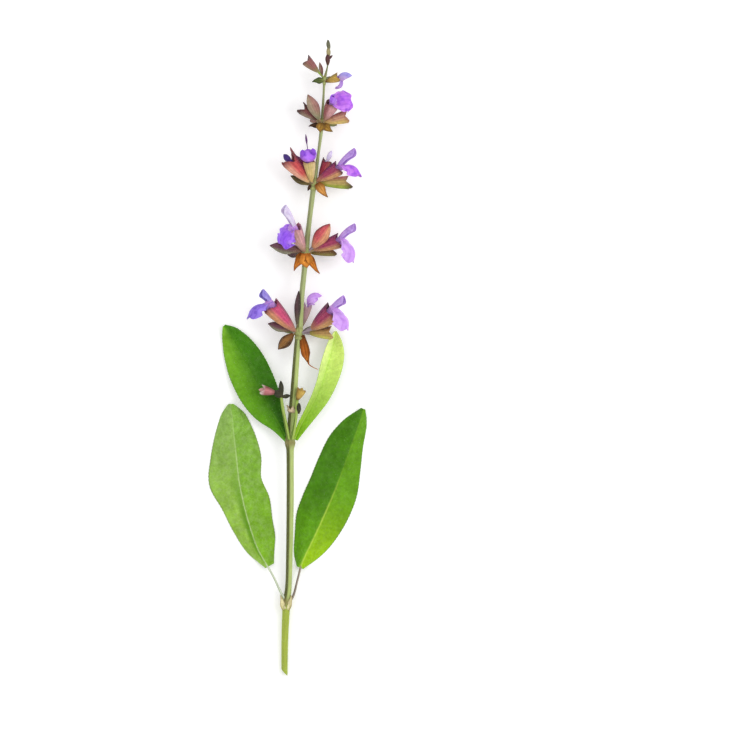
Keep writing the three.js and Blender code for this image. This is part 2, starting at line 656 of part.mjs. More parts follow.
/** Closed bud: a pointed drop. */
function budSolid({ base, turn, lift, length, width }, sides = ROUND_SIDES) {
  const { axis, top } = flowerAxes(turn, lift);
  const profile = [[0, 0.45], [0.3, 0.9], [0.6, 1], [0.85, 0.62]];
  const rings = profile.map(([share, r]) => ringAt(
    base.clone().addScaledVector(axis, share * length), axis, (r * width) / 2, sides, top));
  return loft(base.clone().addScaledVector(axis, -0.2), rings, base.clone().addScaledVector(axis, length));
}

/** Bud that stands in the mouth of a calyx, on its tube. */
function heldBudSolid(calyx) {
  const { axis } = flowerAxes(calyx.turn, calyx.lift);
  const [length, width] = calyx.bud;
  const along = (share) => calyx.base.clone().addScaledVector(axis, share * calyx.length);
  const radius = Math.min(tubeRadius(calyx), width * 0.42);
  const tube = rod([along(TUBE_START), along(0.8), along(1.04)], [radius * 0.8, radius, radius], 3);
  return tube.add(budSolid({ base: along(1.0), turn: calyx.turn, lift: calyx.lift, length, width }, 8));
}

/** Withered bract: a narrow pointed blade that bends down. */
function bractSolid({ base, turn, lift, length, width, curl }) {
  const flat = direction(turn + 90, 0);
  const steps = 4;
  const grid = [];
  const p = base.clone();
  for (let i = 0; i <= steps; i += 1) {
    const t = i / steps;
    const ahead = direction(turn, lift - curl * t);
    const half = Math.max(width * Math.sin(Math.PI * (0.2 + 0.78 * t)), 0.35);
    grid.push([-1, 0, 1].map((share) => p.clone()
      .addScaledVector(flat, share * half)
      .add(vec([0, 0, 0.3 * half * share * share]))));
    p.addScaledVector(ahead, length / steps);
  }
  return blade(grid, PETAL_THICKNESS);
}

/** Ring of tissue round the stem that carries a whorl, from `low` to `high` along Y. */
function collarSolid(low, high, radius) {
  const rings = [[low, 0.82], [(low + high) / 2, 1], [high, 0.8]].map(([y, share]) => {
    const { point, tangent } = stemAt(y);
    return ringAt(point, tangent, radius * share, STEM_SIDES);
  });
  return loft(centre(rings[0]), rings, centre(rings.at(-1)));
}

// ---------------------------------------------------------------- assembly

const ROUGHNESS = 0.75;
const STEM_COLOR = 0x9aa850;
const TOP_BUD_COLOR = 0x4e3f3a;
const SHOOT_RADII = [0.75, 0.55, 0.5, 0.6];
const STEM_GAP = CLEARANCE * 1.3; // wider, because the stem's faces lie inside its corners
const CALYX_GAP = CLEARANCE * 1.5;
const COLLAR_BELOW = 1.1; // how far a whorl's collar reaches down the stem
const COLLAR_ABOVE = 2.6;
const BRACT_COLLAR = 1.5; // height of the ring that carries the bracts
const BRACT_COLLAR_RATIO = 0.9;

/** Named mesh of a solid, shaded flat. */
function meshOf(name, shape, color) {
  const { vertProperties, triVerts } = shape.getMesh();
  const geometry = new THREE.BufferGeometry();
  geometry.setAttribute('position', new THREE.BufferAttribute(vertProperties, 3));
  geometry.setIndex(new THREE.BufferAttribute(triVerts, 1));
  geometry.computeVertexNormals();
  const finish = { color, roughness: ROUGHNESS, metalness: 0, flatShading: true };
  const mesh = new THREE.Mesh(geometry, new THREE.MeshStandardMaterial(finish));
  mesh.name = name;
  return mesh;
}

const stemHole = stemSolid(STEM_GAP);
const floor = floorBlock();

/** Mesh of a piece, cleared of the stem, the floor and the solids given. */
function pieceOf(name, shape, color, away = []) {
  const cleared = [stemHole, floor, ...away].reduce((left, other) => left.subtract(other), shape);
  return meshOf(name, largest(cleared), color);
}

/** Meshes of a whorl: its calyxes with their collar, each corolla or bud, and the bracts below. */
function whorlPieces(whorl) {
  const { name, at, color, collar } = whorl;
  const node = stemAt(at).point;
  const place = (item) => ({ ...item, root: node, base: node.clone().add(vec(item.base)) });
  const calyxes = whorl.calyxes.map(place);
  const blooming = calyxes.filter((calyx) => calyx.name);
  const low = at - COLLAR_BELOW;
  const high = at + COLLAR_ABOVE;
  const cluster = joined([collarSolid(low, high, collar), ...calyxes.map((calyx) => calyxSolid(calyx))]);
  const pieces = [pieceOf(`calyxes_${name}`, cluster, color, blooming.map(tubeRoom))];

  const around = calyxes.map((calyx) => calyxSolid(calyx, CALYX_GAP));
  for (const calyx of blooming) {
    const shape = calyx.bud ? heldBudSolid(calyx) : corollaSolid(calyx);
    pieces.push(pieceOf(`corolla_${name}_${calyx.name}`, shape, calyx.color, around));
  }

  const top = low - CLEARANCE;
  const ring = collarSolid(top - BRACT_COLLAR, top, collar * BRACT_COLLAR_RATIO);
  const bracts = joined([ring, ...whorl.bracts.map(place).map(bractSolid)]);
  const aboveRing = collarSolid(top, high, collar + 2 * CLEARANCE);
  pieces.push(pieceOf(`bracts_${name}`, bracts, whorl.bractColor, [...around, aboveRing]));
  return pieces;
}

/** Mesh of a small axil shoot. */
function shootPiece(name, { stalk, buds, color }) {
  const shapes = buds.map((bud) => budSolid({ ...bud, base: vec(bud.base) }));
  return pieceOf(name, joined([rod(stalk.map(vec), SHOOT_RADII), ...shapes]), color);
}

/** Mesh of the buds stacked on the stem's tip. */
function topBudsPiece() {
  const shapes = TOP_BUDS.map((bud) => {
    const { point } = stemAt(Math.min(bud.at, STEM.at(-1)[0]));
    return budSolid({ ...bud, base: point.clone().setY(bud.at), lift: 2 });
  });
  return pieceOf('top_buds', joined(shapes), TOP_BUD_COLOR);
}

/** Mesh of the ring of dry scales. */
function scalesPiece() {
  const { at, length, spread, color } = SCALES;
  return pieceOf('dry_scales', collarSolid(at, at + length, stemAt(at).radius + spread), color);
}

const sprig = new THREE.Group();
sprig.add(meshOf('stem', stemSolid().subtract(floor), STEM_COLOR));
sprig.add(...Object.entries(LEAVES).map(([name, leaf]) => pieceOf(name, leafSolid(leaf), leaf.color)));
sprig.add(...WHORLS.flatMap(whorlPieces));
sprig.add(...Object.entries(SHOOTS).map(([name, shoot]) => shootPiece(name, shoot)));
sprig.add(topBudsPiece(), scalesPiece());

const bounds = new THREE.Box3().setFromObject(sprig);
const middle = bounds.getCenter(new THREE.Vector3());
sprig.position.set(-middle.x, -middle.y, -bounds.min.z);

export default sprig;
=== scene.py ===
"""Cut sprig of flowering sage, lying on a flat surface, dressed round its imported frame.

The sprig's own sizes are millimetres and degrees. +Y runs along the stem from its cut end to the top
bud, +X is to the right seen from above and +Z is up. Meshes are written in metres in the frame, whose
origin is the middle of the bottom of the sprig's box.
"""

import logging
import math
from collections.abc import Sequence
from dataclasses import dataclass, field
from enum import Enum

import bpy
import numpy as np
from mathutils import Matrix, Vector


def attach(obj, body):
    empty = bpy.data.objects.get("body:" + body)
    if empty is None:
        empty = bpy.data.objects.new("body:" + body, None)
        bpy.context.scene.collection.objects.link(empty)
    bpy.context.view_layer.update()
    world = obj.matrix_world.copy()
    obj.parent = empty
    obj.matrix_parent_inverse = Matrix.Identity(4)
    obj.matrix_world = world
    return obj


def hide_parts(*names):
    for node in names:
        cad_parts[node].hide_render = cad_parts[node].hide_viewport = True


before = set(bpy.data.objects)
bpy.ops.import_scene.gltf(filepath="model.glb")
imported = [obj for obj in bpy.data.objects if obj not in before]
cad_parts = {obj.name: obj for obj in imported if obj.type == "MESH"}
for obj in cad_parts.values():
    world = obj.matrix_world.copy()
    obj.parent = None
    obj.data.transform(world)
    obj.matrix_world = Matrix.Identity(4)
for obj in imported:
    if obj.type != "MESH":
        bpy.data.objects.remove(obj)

Array = np.ndarray
Rows = Sequence[Sequence[float]]
Object = bpy.types.Object
Material = bpy.types.Material
Tree = bpy.types.NodeTree
Socket = bpy.types.NodeSocket
LOG = logging.getLogger("sage_sprig")

MM = 0.001
CUT_END = np.array([-2.0383596, -126.5680848, 0.0])  # the cut end's place in the frame, mm
BODY = "root"
UP = np.array([0.0, 0.0, 1.0])
ALONG = np.array([0.0, 1.0, 0.0])
REST_GAP = 0.02  # least height of a surface above the floor, mm
PATTERN = ("along", "across", "relief", "under")  # what each point of a shell is to the pattern on it
SPREAD = np.array([127.1, 311.7])  # turns the whole numbers of a cell into an angle
SPREAD_GAIN = 43758.5453
SPREAD_SHIFT = 57.3  # parts the two random numbers of one cell
STALK_END = 0.6  # how far a stalk's end bulges, as a share of its radius


# ------------------------------------------------------------------------------------ lines and axes


def unit(vectors: Array) -> Array:
    """Returns the vectors, one in each row, scaled to length 1."""
    return vectors / np.linalg.norm(vectors, axis=-1, keepdims=True)


def direction(turn: float, lift: float) -> Array:
    """Unit vector from a turn in plan and a lift above the horizontal.

    Args:
        turn: Degrees from +X towards +Y.
        lift: Degrees above the horizontal.

    Returns:
        The vector.
    """
    flat = math.cos(math.radians(lift))
    plan = math.radians(turn)
    return np.array([flat * math.cos(plan), flat * math.sin(plan), math.sin(math.radians(lift))])


def columns_at(rows: Rows, keys: float | Array) -> Array:
    """Smooth values of the columns after the first, where the first column is the key.

    Args:
        rows: Table whose first column rises.
        keys: Keys to read the table at.

    Returns:
        One row of values for each key.
    """
    table = np.array(rows, float)
    knots, values = table[:, 0], table[:, 1:]
    keys = np.atleast_1d(np.asarray(keys, float))
    last = len(knots) - 1
    here = np.arange(last + 1)
    before, after = np.maximum(here - 1, 0), np.minimum(here + 1, last)
    slope = (values[after] - values[before]) / (knots[after] - knots[before])[:, None]
    low = np.clip(np.searchsorted(knots, keys) - 1, 0, last - 1)
    span = (knots[low + 1] - knots[low])[:, None]
    t = np.clip((keys - knots[low])[:, None] / span, 0, 1)
    rise = t * t * (3 - 2 * t)
    lead = t * (1 - t) ** 2 * slope[low] * span
    tail = t * t * (t - 1) * slope[low + 1] * span
    return values[low] + (values[low + 1] - values[low]) * rise + lead + tail


def keyed(rows: Rows) -> Array:
    """Rows with a first column added that runs evenly from 0 to 1."""
    table = np.array(rows, float)
    return np.column_stack([np.linspace(0, 1, len(table)), table])


def smoothstep(low: float, high: float, values: Array) -> Array:
    """Smooth rise from 0 at low to 1 at high."""
    t = np.clip((np.asarray(values) - low) / (high - low), 0, 1)
    return t * t * (3 - 2 * t)


def bump(values: Array, width: float) -> Array:
    """Rounded bump of height 1 at 0, gone beyond about twice its width."""
    return np.exp(-((np.asarray(values) / width) ** 2))


def circle(sides: int) -> Array:
    """Returns the angles of the points round a ring."""
    return np.linspace(0, 2 * math.pi, sides, endpoint=False)


def facing(grid: Array) -> Array:
    """Returns the direction that a grid of points faces at each of them."""
    return unit(np.cross(np.gradient(grid, axis=1), np.gradient(grid, axis=0)))


def paced(start: Array, moves: Array, t: Array) -> Array:
    """Smooth line through points that are one move apart.

    Args:
        start: Its first point.
        moves: The moves, one in each row.
        t: Shares of its length to read it at.

    Returns:
        One point for each share.
    """
    points = start + np.concatenate([np.zeros((1, 3)), np.cumsum(moves, axis=0)])
    return columns_at(keyed(points), t)


def scatter(cells: Array) -> Array:
    """Even pseudo-random numbers from 0 to 1, one for each row of whole numbers."""
    mixed = np.sin(cells @ SPREAD) * SPREAD_GAIN
    return mixed - np.floor(mixed)


def cell_edges(places: Array, size: float) -> Array:
    """How near points in a plane are to the edges of a net of uneven cells.

    Args:
        places: Points, one in each row.
        size: Width of a cell.

    Returns:
        Distance to the nearest edge, as a share of a cell's width.
    """
    grid = places / size
    home = np.floor(grid)
    gaps = []
    for dx in (-1, 0, 1):
        for dy in (-1, 0, 1):
            cell = home + np.array([dx, dy])
            seed = cell + np.stack([scatter(cell), scatter(cell + SPREAD_SHIFT)], axis=-1)
            gaps.append(np.linalg.norm(grid - seed, axis=-1))
    nearest = np.sort(np.stack(gaps, axis=-1), axis=-1)
    return nearest[..., 1] - nearest[..., 0]


@dataclass(frozen=True)
class Axes:
    """Axes of a flower: along its direction, towards the stem's tip, and across."""

    axis: Array
    top: Array
    across: Array

    @classmethod
    def of(cls, turn: float, lift: float, roll: float = 0.0) -> "Axes":
        """Axes of a flower that points a given way.

        Args:
            turn: Degrees in plan from +X towards +Y.
            lift: Degrees above the horizontal.
            roll: Degrees that its top is turned about its direction.

        Returns:
            The axes.
        """
        axis = direction(turn, lift)
        level = unit(ALONG - axis * ALONG.dot(axis))
        turned = math.radians(roll)
        top = level * math.cos(turned) + np.cross(axis, level) * math.sin(turned)
        return cls(axis, top, np.cross(axis, top))


# ------------------------------------------------------------------------------------ closed surfaces


@dataclass
class Shell:
    """Closed surface, with what each of its points is to the pattern on it.

    `along` runs from root to tip, `across` from side to side, `relief` is 1 on a rib or vein and `under`
    is 1 on the side turned away.
    """

    points: Array
    quads: Array
    tris: Array
    along: Array
    across: Array
    relief: Array
    under: Array
    finish: Material

    def outward(self) -> "Shell":
        """Returns the shell with its faces turned to point outwards."""
        halves = [self.quads[:, [0, 1, 2]], self.quads[:, [0, 2, 3]], self.tris]
        a, b, c = (self.points[np.concatenate(halves)[:, k]] for k in range(3))
        if np.einsum("ij,ij->", a, np.cross(b, c)) < 0:
            self.quads = self.quads[:, ::-1]
            self.tris = self.tris[:, ::-1]
        return self


def loft(
    rings: Array,
    finish: Material,
    along: Array,
    across: Array,
    relief: Array | float = 0.0,
    under: Array | float = 0.0,
    ends: tuple[Array | None, Array | None] = (None, None),
) -> Shell:
    """Closed shell through rings of equally many points.

    Args:
        rings: Rings, points of each ring, coordinates.
        finish: Material of the shell.
        along: Pattern value of each ring.
        across: Pattern value of each point of a ring, or one for all.
        relief: Pattern value of every point, of each point of a ring, or of each ring in a column.
        under: Pattern value, in the same way.
        ends: Points that close the first and the last ring, each the ring's middle where it is None.

    Returns:
        The shell.
    """
    count, sides = rings.shape[:2]
    start = rings[0].mean(axis=0) if ends[0] is None else ends[0]
    end = rings[-1].mean(axis=0) if ends[1] is None else ends[1]
    index = np.arange(count * sides).reshape(count, sides)
    near, far = index[:-1], index[1:]
    quads = np.stack([near, np.roll(near, -1, 1), np.roll(far, -1, 1), far], axis=-1).reshape(-1, 4)
    first, last = count * sides, count * sides + 1
    opening = np.stack([np.full(sides, first), np.roll(index[0], -1), index[0]], axis=-1)
    closing = np.stack([np.full(sides, last), index[-1], np.roll(index[-1], -1)], axis=-1)

    def spread(values: Array | float) -> Array:
        """Pattern value of every point and of the two ends."""
        full = np.broadcast_to(np.asarray(values, float), (count, sides))
        return np.concatenate([full.reshape(-1), [full[0].mean(), full[-1].mean()]])

    return Shell(
        np.concatenate([rings.reshape(-1, 3), [start, end]]),
        quads,
        np.concatenate([opening, closing]),
        spread(np.asarray(along, float)[:, None]),
        spread(across),
        spread(relief),
        spread(under),
        finish,
    ).outward()


def sheet(
    grid: Array,
    thickness: Array | float,
    finish: Material,
    along: Array,
    across: Array,
    relief: Array | float = 0.0,
    normals: Array | None = None,
) -> Shell:
    """Thin closed shell on both sides of a grid of points.

    Args:
        grid: Rows, columns, coordinates of its middle surface.
        thickness: Thickness at every point.
        finish: Material of the shell.
        along: Pattern value of each row.
        across: Pattern value of each column.
        relief: Pattern value of every point.
        normals: Direction of the thickness at every point, worked out from the grid where it is None.

    Returns:
        The shell.
    """
    rows, columns = grid.shape[:2]
    if normals is None:
        normals = facing(grid)
    half = np.broadcast_to(np.asarray(thickness, float), (rows, columns))[..., None] / 2
    points = np.concatenate([(grid + normals * half).reshape(-1, 3), (grid - normals * half).reshape(-1, 3)])
    index = np.arange(rows * columns).reshape(rows, columns)
    below = rows * columns
    corners = [index[:-1, :-1], index[:-1, 1:], index[1:, 1:], index[1:, :-1]]
    face = np.stack(corners, axis=-1).reshape(-1, 4)
    rim = np.concatenate([index[0, :-1], index[:-1, -1], index[-1, :0:-1], index[:0:-1, 0]])
    after = np.roll(rim, -1)
    edge = np.stack([rim, rim + below, after + below, after], axis=-1)

    def twice(values: Array | float) -> Array:
        """Pattern value of every point of both faces."""
        full = np.broadcast_to(np.asarray(values, float), (rows, columns)).reshape(-1)
        return np.concatenate([full, full])

    return Shell(
        points,
        np.concatenate([face, face[:, ::-1] + below, edge]),
        np.zeros((0, 3), int),
        twice(np.asarray(along, float)[:, None]),
        twice(across),
        twice(relief),
        np.repeat([0.0, 1.0], rows * columns),
        finish,
    ).outward()


def rings_round(middles: Array, axes: Array, radii: Array, upward: Array = UP) -> Array:
    """Rings round points, each in the plane across an axis, from the upward side round.

    Args:
        middles: Middle of each ring.
        axes: Axis of each ring.
        radii: Rings, points of each ring.
        upward: Direction that the first point of a ring lies in.

    Returns:
        Rings, points of each ring, coordinates.
    """
    side = unit(np.cross(axes, upward))
    top = unit(np.cross(side, axes))
    angles = circle(radii.shape[1])[:, None]
    reach = radii[..., None]
    turned = side[:, None] * np.sin(angles) + top[:, None] * np.cos(angles)
    return middles[:, None] + reach * turned


def tube(
    points: Sequence[Array],
    radii: Sequence[float],
    finish: Material,
    steps: int = 16,
    sides: int = 12,
) -> Shell:
    """Round solid stalk along a smooth line.

    Args:
        points: Points that the line passes.
        radii: Radii spaced evenly along it.
        finish: Material of the stalk.
        steps: Stretches between its rings.
        sides: Points of a ring.

    Returns:
        The stalk.
    """
    t = np.linspace(0, 1, steps + 1)
    line = columns_at(keyed(points), t)
    width = columns_at(keyed([[r] for r in radii]), t)
    tangents = unit(np.gradient(line, axis=0))
    rings = rings_round(line, tangents, np.repeat(width, sides, axis=1))
    tip = line[-1] + tangents[-1] * radii[-1] * STALK_END
    return loft(rings, finish, t, np.sin(circle(sides)), ends=(None, tip))


def placed(name: str, data: bpy.types.ID) -> Object:
    """Object that stands in the scene.

    Args:
        name: Its name.
        data: Its mesh, light or camera.

    Returns:
        The object.
    """
    made = bpy.data.objects.new(name, data)
    bpy.context.scene.collection.objects.link(made)
    return made


def piece(name: str, shells: Sequence[Shell], slot: str, *nodes: str) -> Object:
    """Finished piece of the sprig, riding on its body, with no point below the floor.

    Args:
        name: Name of the piece.
        shells: Closed shells that it is made of, in the sprig's own millimetres.
        slot: Name of a material slot, handed on to `mount`.
        nodes: CAD nodes that it stands for.

    Returns:
        The object.
    """
    finishes = list(dict.fromkeys(shell.finish for shell in shells))
    starts = np.cumsum([0] + [len(shell.points) for shell in shells])
    faces: list[list[int]] = []
    materials: list[int] = []
    for start, shell in zip(starts, shells):
        faces += (shell.quads + start).tolist() + (shell.tris + start).tolist()
        materials += [finishes.index(shell.finish)] * (len(shell.quads) + len(shell.tris))
    points = np.concatenate([shell.points for shell in shells])
    points[:, 2] = np.maximum(points[:, 2], REST_GAP)
    mesh = bpy.data.meshes.new(name)
    mesh.from_pydata(((points + CUT_END) * MM).tolist(), [], faces)
    for finish in finishes:
        mesh.materials.append(finish)
    mesh.polygons.foreach_set("material_index", materials)
    mesh.polygons.foreach_set("use_smooth", [True] * len(faces))
    for label in PATTERN:
        values = np.concatenate([getattr(shell, label) for shell in shells])
        mesh.attributes.new(label, "FLOAT", "POINT").data.foreach_set("value", values)
    mesh.update()
    return mount(placed(name, mesh), slot, *nodes)


def mount(made: Object, slot: str, *nodes: str) -> Object:
    """Puts a piece on the sprig's body and reports it.

    Args:
        made: The piece.
        slot: Not used.
        nodes: CAD nodes that it stands for.

    Returns:
        The same piece.
    """
    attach(made, BODY)
    if nodes:
        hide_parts(*nodes)
    LOG.info("%s: %d faces", made.name, len(made.data.polygons))
    return made


# ------------------------------------------------------------------------------------ finishes

MIX = "ShaderNodeMix"
RANGE = "ShaderNodeMapRange"
MATHS = "ShaderNodeMath"
NOISE = "ShaderNodeTexNoise"
SHADE = "ShaderNodeHueSaturation"


def linear(code: str) -> tuple[float, float, float, float]:
    """Linear colour of an sRGB hex code.

    Args:
        code: The code, such as '#88aa44'.

    Returns:
        Red, green, blue, and 1 for opaque.
    """
    parts = [int(code[k : k + 2], 16) / 255 for k in (1, 3, 5)]
    red, green, blue = (p / 12.92 if p <= 0.04045 else ((p + 0.055) / 1.055) ** 2.4 for p in parts)
    return (red, green, blue, 1.0)


def add(
    tree: Tree,
    kind: str,
    inputs: dict[int | str, object] | None = None,
    out: int | str = 0,
    **settings: object,
) -> Socket:
    """Adds a node with its settings and links.

    Args:
        tree: Tree that it goes in.
        kind: Type name of the node.
        inputs: For each input, a value, or an output of another node to link from.
        out: The output to return.
        settings: Properties of the node.

    Returns:
        One output of the node, or its first input where it has no outputs.
    """
    new = tree.nodes.new(kind)
    for key, value in settings.items():
        setattr(new, key, value)
    for key, value in (inputs or {}).items():
        if isinstance(value, Socket):
            tree.links.new(value, new.inputs[key])
        else:
            new.inputs[key].default_value = value
    return new.outputs[out] if new.outputs else new.inputs[0]


def blank_material(name: str) -> Material:
    """Material with an empty tree.

    Args:
        name: Its name.

    Returns:
        The material.
    """
    material = bpy.data.materials.new(name)
    material.use_nodes = True
    material.node_tree.nodes.clear()
    return material


@dataclass(frozen=True)
class Layer:
    """Colour laid over another where a pattern value rises from `start` to `full`.

    `less` and `more` are how much of it shows before and after, and `times` is what that is thinned by.
    """

    colour: str | Socket
    value: Socket
    start: float
    full: float
    less: float = 0.0
    more: float = 1.0
    smooth: bool = False
    times: Socket | None = None


class Ground:
    """Tree of a material, with what its patterns follow: the piece's place and its pattern values."""

    def __init__(self, tree: Tree) -> None:
        """Reads the place and the pattern values.

        Args:
            tree: Tree of the material.
        """
        self.tree = tree
        self.place = add(tree, "ShaderNodeTexCoord", out="Object")
        values = [add(tree, "ShaderNodeAttribute", out="Fac", attribute_name=name) for name in PATTERN]
        self.along, self.across, self.relief, self.under = values

    def layered(self, colour: Socket | Sequence[float], *layers: Layer) -> Socket:
        """Colour with others laid over it.

        Args:
            colour: The lowest colour.
            layers: The layers, from the lowest to the top one.

        Returns:
            The output that carries the colour.
        """
        for layer in layers:
            spread = {0: layer.value, 1: layer.start, 2: layer.full, 3: layer.less, 4: layer.more}
            curve = "SMOOTHSTEP" if layer.smooth else "LINEAR"
            share = add(self.tree, RANGE, spread, interpolation_type=curve)
            if layer.times is not None:
                share = add(self.tree, MATHS, {0: share, 1: layer.times}, operation="MULTIPLY")
            top = layer.colour if isinstance(layer.colour, Socket) else linear(layer.colour)
            colour = add(self.tree, MIX, {0: share, 6: colour, 7: top}, 2, data_type="RGBA")
        return colour

    def shaded(self, colour: Socket, patch_mm: float, depth: float) -> Socket:
        """Colour with soft lighter and darker patches.

        Args:
            colour: Colour before it.
            patch_mm: Size of a patch.
            depth: How much lighter or darker a patch may be.

        Returns:
            The output that carries the colour.
        """
        cloud = {"Vector": self.place, "Scale": 1 / (patch_mm * MM), "Detail": 4.0, "Roughness": 0.6}
        spread = {0: add(self.tree, NOISE, cloud), 1: 0.3, 2: 0.7, 3: 1 - depth, 4: 1 + depth}
        return add(self.tree, SHADE, {"Color": colour, "Value": add(self.tree, RANGE, spread)})


class Paint:
    """Finish that can lay its colour into a material's tree."""

    def colour(self, on: Ground) -> Socket:
        """Colour of the finish.

        Args:
            on: Tree of the material, with what its patterns follow.

        Returns:
            The output that carries the colour.
        """
        raise NotImplementedError


@dataclass(frozen=True)
class Skin:
    """Surface of living or dry tissue, and how light meets it.

    `gloss` is its roughness, `down` the strength of the sheen that its fine hairs give, `glow` how much
    light passes into it, and `shine` how much it reflects: little, because its cells bulge.
    """

    gloss: float = 0.5
    down: float = 0.1
    glow: float = 0.1
    relief: float = 0.4
    grain_mm: float = 0.8
    shine: float = 0.22

    ior = 1.42
    down_roughness = 0.45
    glow_mm = 0.6
    glow_colours = (1.0, 0.9, 0.6)
    grain_depth = 0.2

    def dress(self, name: str, paint: Paint) -> Material:
        """Material with this surface and a colour that `paint` gives.

        Args:
            name: Name of the material.
            paint: Finish whose colour nodes are laid into the tree.

        Returns:
            The material.
        """
        material = blank_material(name)
        tree = material.node_tree
        on = Ground(tree)
        grain = add(tree, NOISE, {"Vector": on.place, "Scale": 1 / (self.grain_mm * MM), "Detail": 3.0})
        depth = self.grain_mm * MM * self.grain_depth
        rough = {"Strength": self.relief, "Distance": depth, "Height": grain}
        settings = {
            "Base Color": paint.colour(on),
            "Normal": add(tree, "ShaderNodeBump", rough),
            "Roughness": self.gloss,
            "IOR": self.ior,
            "Specular IOR Level": self.shine,
            "Sheen Weight": self.down,
            "Sheen Roughness": self.down_roughness,
            "Subsurface Weight": self.glow,
            "Subsurface Radius": self.glow_colours,
            "Subsurface Scale": self.glow_mm * MM,
        }
        surface = add(tree, "ShaderNodeBsdfPrincipled", settings)
        add(tree, "ShaderNodeOutputMaterial", {"Surface": surface})
        return material


@dataclass(frozen=True)
class Blade(Paint):
    """Living sage leaf: a soft felted green blade, grown with a net of sunken veins.

    It looks matt and slightly frosted by its down, with a pale midrib, darker where the blade puffs up
    between the veins. Each half has its own green at its base and its tip, and the two pass into each
    other over `blend`, in shares of the half width. The tip's green is reached at `turned` of the length,
    and the midrib is pale up to `rib_to` of it. `crease` is how strong the painted shade in the fold on
    the midrib's left is near the base, and `deep` is the colour of that painted shade.
    """

    left: tuple[str, str]
    right: tuple[str, str]
    midrib: str
    margin: str
    vein: float = 0.3
    frost: float = 0.0
    blend: tuple[float, float] = (-0.06, 0.06)
    rib_to: float = 1.0
    turned: float = 1.0
    mottle: float = 0.12
    crease: float = 0.0
    # colour of the painted shade in the fold left of the midrib
    deep: str = "#5c9010"
    back: str = "#8ca468"
    frosted: str = "#c8d8a8"

    patches_mm = (9.0, 1.7)
    net_mm = 1.25  # a sage leaf's net is under 1 mm wide; drawn a little coarser so that it shows
    felt_mm = 2.2

    def colour(self, on: Ground) -> Socket:
        """Colour of the blade.

        Args:
            on: Tree of the material, with what its patterns follow.

        Returns:
            The output that carries the colour.
        """
        tree = on.tree
        left, right = (
            on.layered(linear(base), Layer(tip, on.along, 0.05, self.turned, smooth=True))
            for base, tip in (self.left, self.right)
        )
        green = on.layered(left, Layer(right, on.across, *self.blend, smooth=True))
        for size in self.patches_mm:
            green = on.shaded(green, size, self.mottle)
        pale = add(tree, SHADE, {"Color": green, "Saturation": 0.85, "Value": 1.35})
        cells = {"Vector": on.place, "Scale": 1 / (self.net_mm * MM)}
        net = add(tree, "ShaderNodeTexVoronoi", cells, "Distance", feature="DISTANCE_TO_EDGE")
        felt = add(tree, NOISE, {"Vector": on.place, "Scale": 1 / (self.felt_mm * MM), "Detail": 5.0})
        # where the painted shade lies: just left of the midrib, fading out from the base
        risen = add(tree, RANGE, {0: on.across, 1: 0.0, 2: 0.06, 3: 1.0, 4: 0.0})
        near = add(tree, RANGE, {0: on.along, 1: 0.28, 2: 0.7, 3: self.crease, 4: 0.0})
        fold = add(tree, MATHS, {0: risen, 1: near}, operation="MULTIPLY")
        fade = add(tree, RANGE, {0: on.along, 1: self.rib_to * 0.6, 2: self.rib_to, 3: 1.0, 4: 0.15})
        reach = add(tree, MATHS, {0: on.across}, operation="ABSOLUTE")
        return on.layered(
            green,
            Layer(pale, net, 0.0, 0.16, self.vein, 0.0),
            Layer(self.frosted, felt, 0.45, 0.7, more=self.frost),
            # painted shade in the fold left of the midrib
            Layer(self.deep, on.across, -0.38, -0.1, smooth=True, times=fold),
            Layer(self.midrib, on.relief, 0.2, 1.0, times=fade),
            Layer(self.margin, reach, 0.955, 1.0, more=0.7),
            Layer(self.back, on.under, 0.0, 1.0),
        )


@dataclass(frozen=True)
class Stalk(Paint):
    """Living square stem or round stalk: ribbed green tissue with a thin waxy skin.

    It looks striped along its length, with one side dark and the other side pale: the dark side is partly a
    flush from the sun and partly painted shade, and the pale side, turned to the key light, is partly
    painted light. It is plain and young below `plain_to`, greyer in its upper half, dark at its thin end,
    and drier at the nodes, which `relief` marks.
    """

    dark: str
    pale: str
    ridge: str
    node: str
    young: str
    upper: str
    plain_to: float = 0.001

    ridge_at = -0.1
    stripe_mm = (0.303, 11.1, 0.303)  # the skin's stripes are narrow and run along the stem

    def colour(self, on: Ground) -> Socket:
        """Colour of the stalk.

        Args:
            on: Tree of the material, with what its patterns follow.

        Returns:
            The output that carries the colour.
        """
        tree = on.tree
        off = add(tree, MATHS, {0: on.across, 1: self.ridge_at}, operation="ADD")
        near = add(tree, MATHS, {0: off}, operation="ABSOLUTE")
        skin = on.layered(
            linear(self.dark),
            # one side painted darker and the other paler: partly painted shade and painted light, partly a
            # real flush
            Layer(self.pale, on.across, -0.3, 0.12, smooth=True),
            Layer(self.ridge, near, 0.0, 0.25, 0.6, 0.0),
            Layer(self.young, on.along, self.plain_to * 0.96, self.plain_to * 1.04, 1.0, 0.0),
            Layer(self.upper, on.along, 0.5, 0.62, more=0.7),
            Layer(self.dark, on.along, 0.95, 0.98, more=0.75),
            Layer(self.node, on.relief, 0.0, 1.0),
        )
        stretch = tuple(1 / (size * MM) for size in self.stripe_mm)
        stretched = add(tree, "ShaderNodeMapping", {"Vector": on.place, "Scale": stretch})
        stripe = add(tree, NOISE, {"Vector": stretched, "Scale": 1.0, "Detail": 2.0})
        value = add(tree, RANGE, {0: stripe, 1: 0.3, 2: 0.7, 3: 0.86, 4: 1.12})
        return add(tree, SHADE, {"Color": skin, "Value": value})


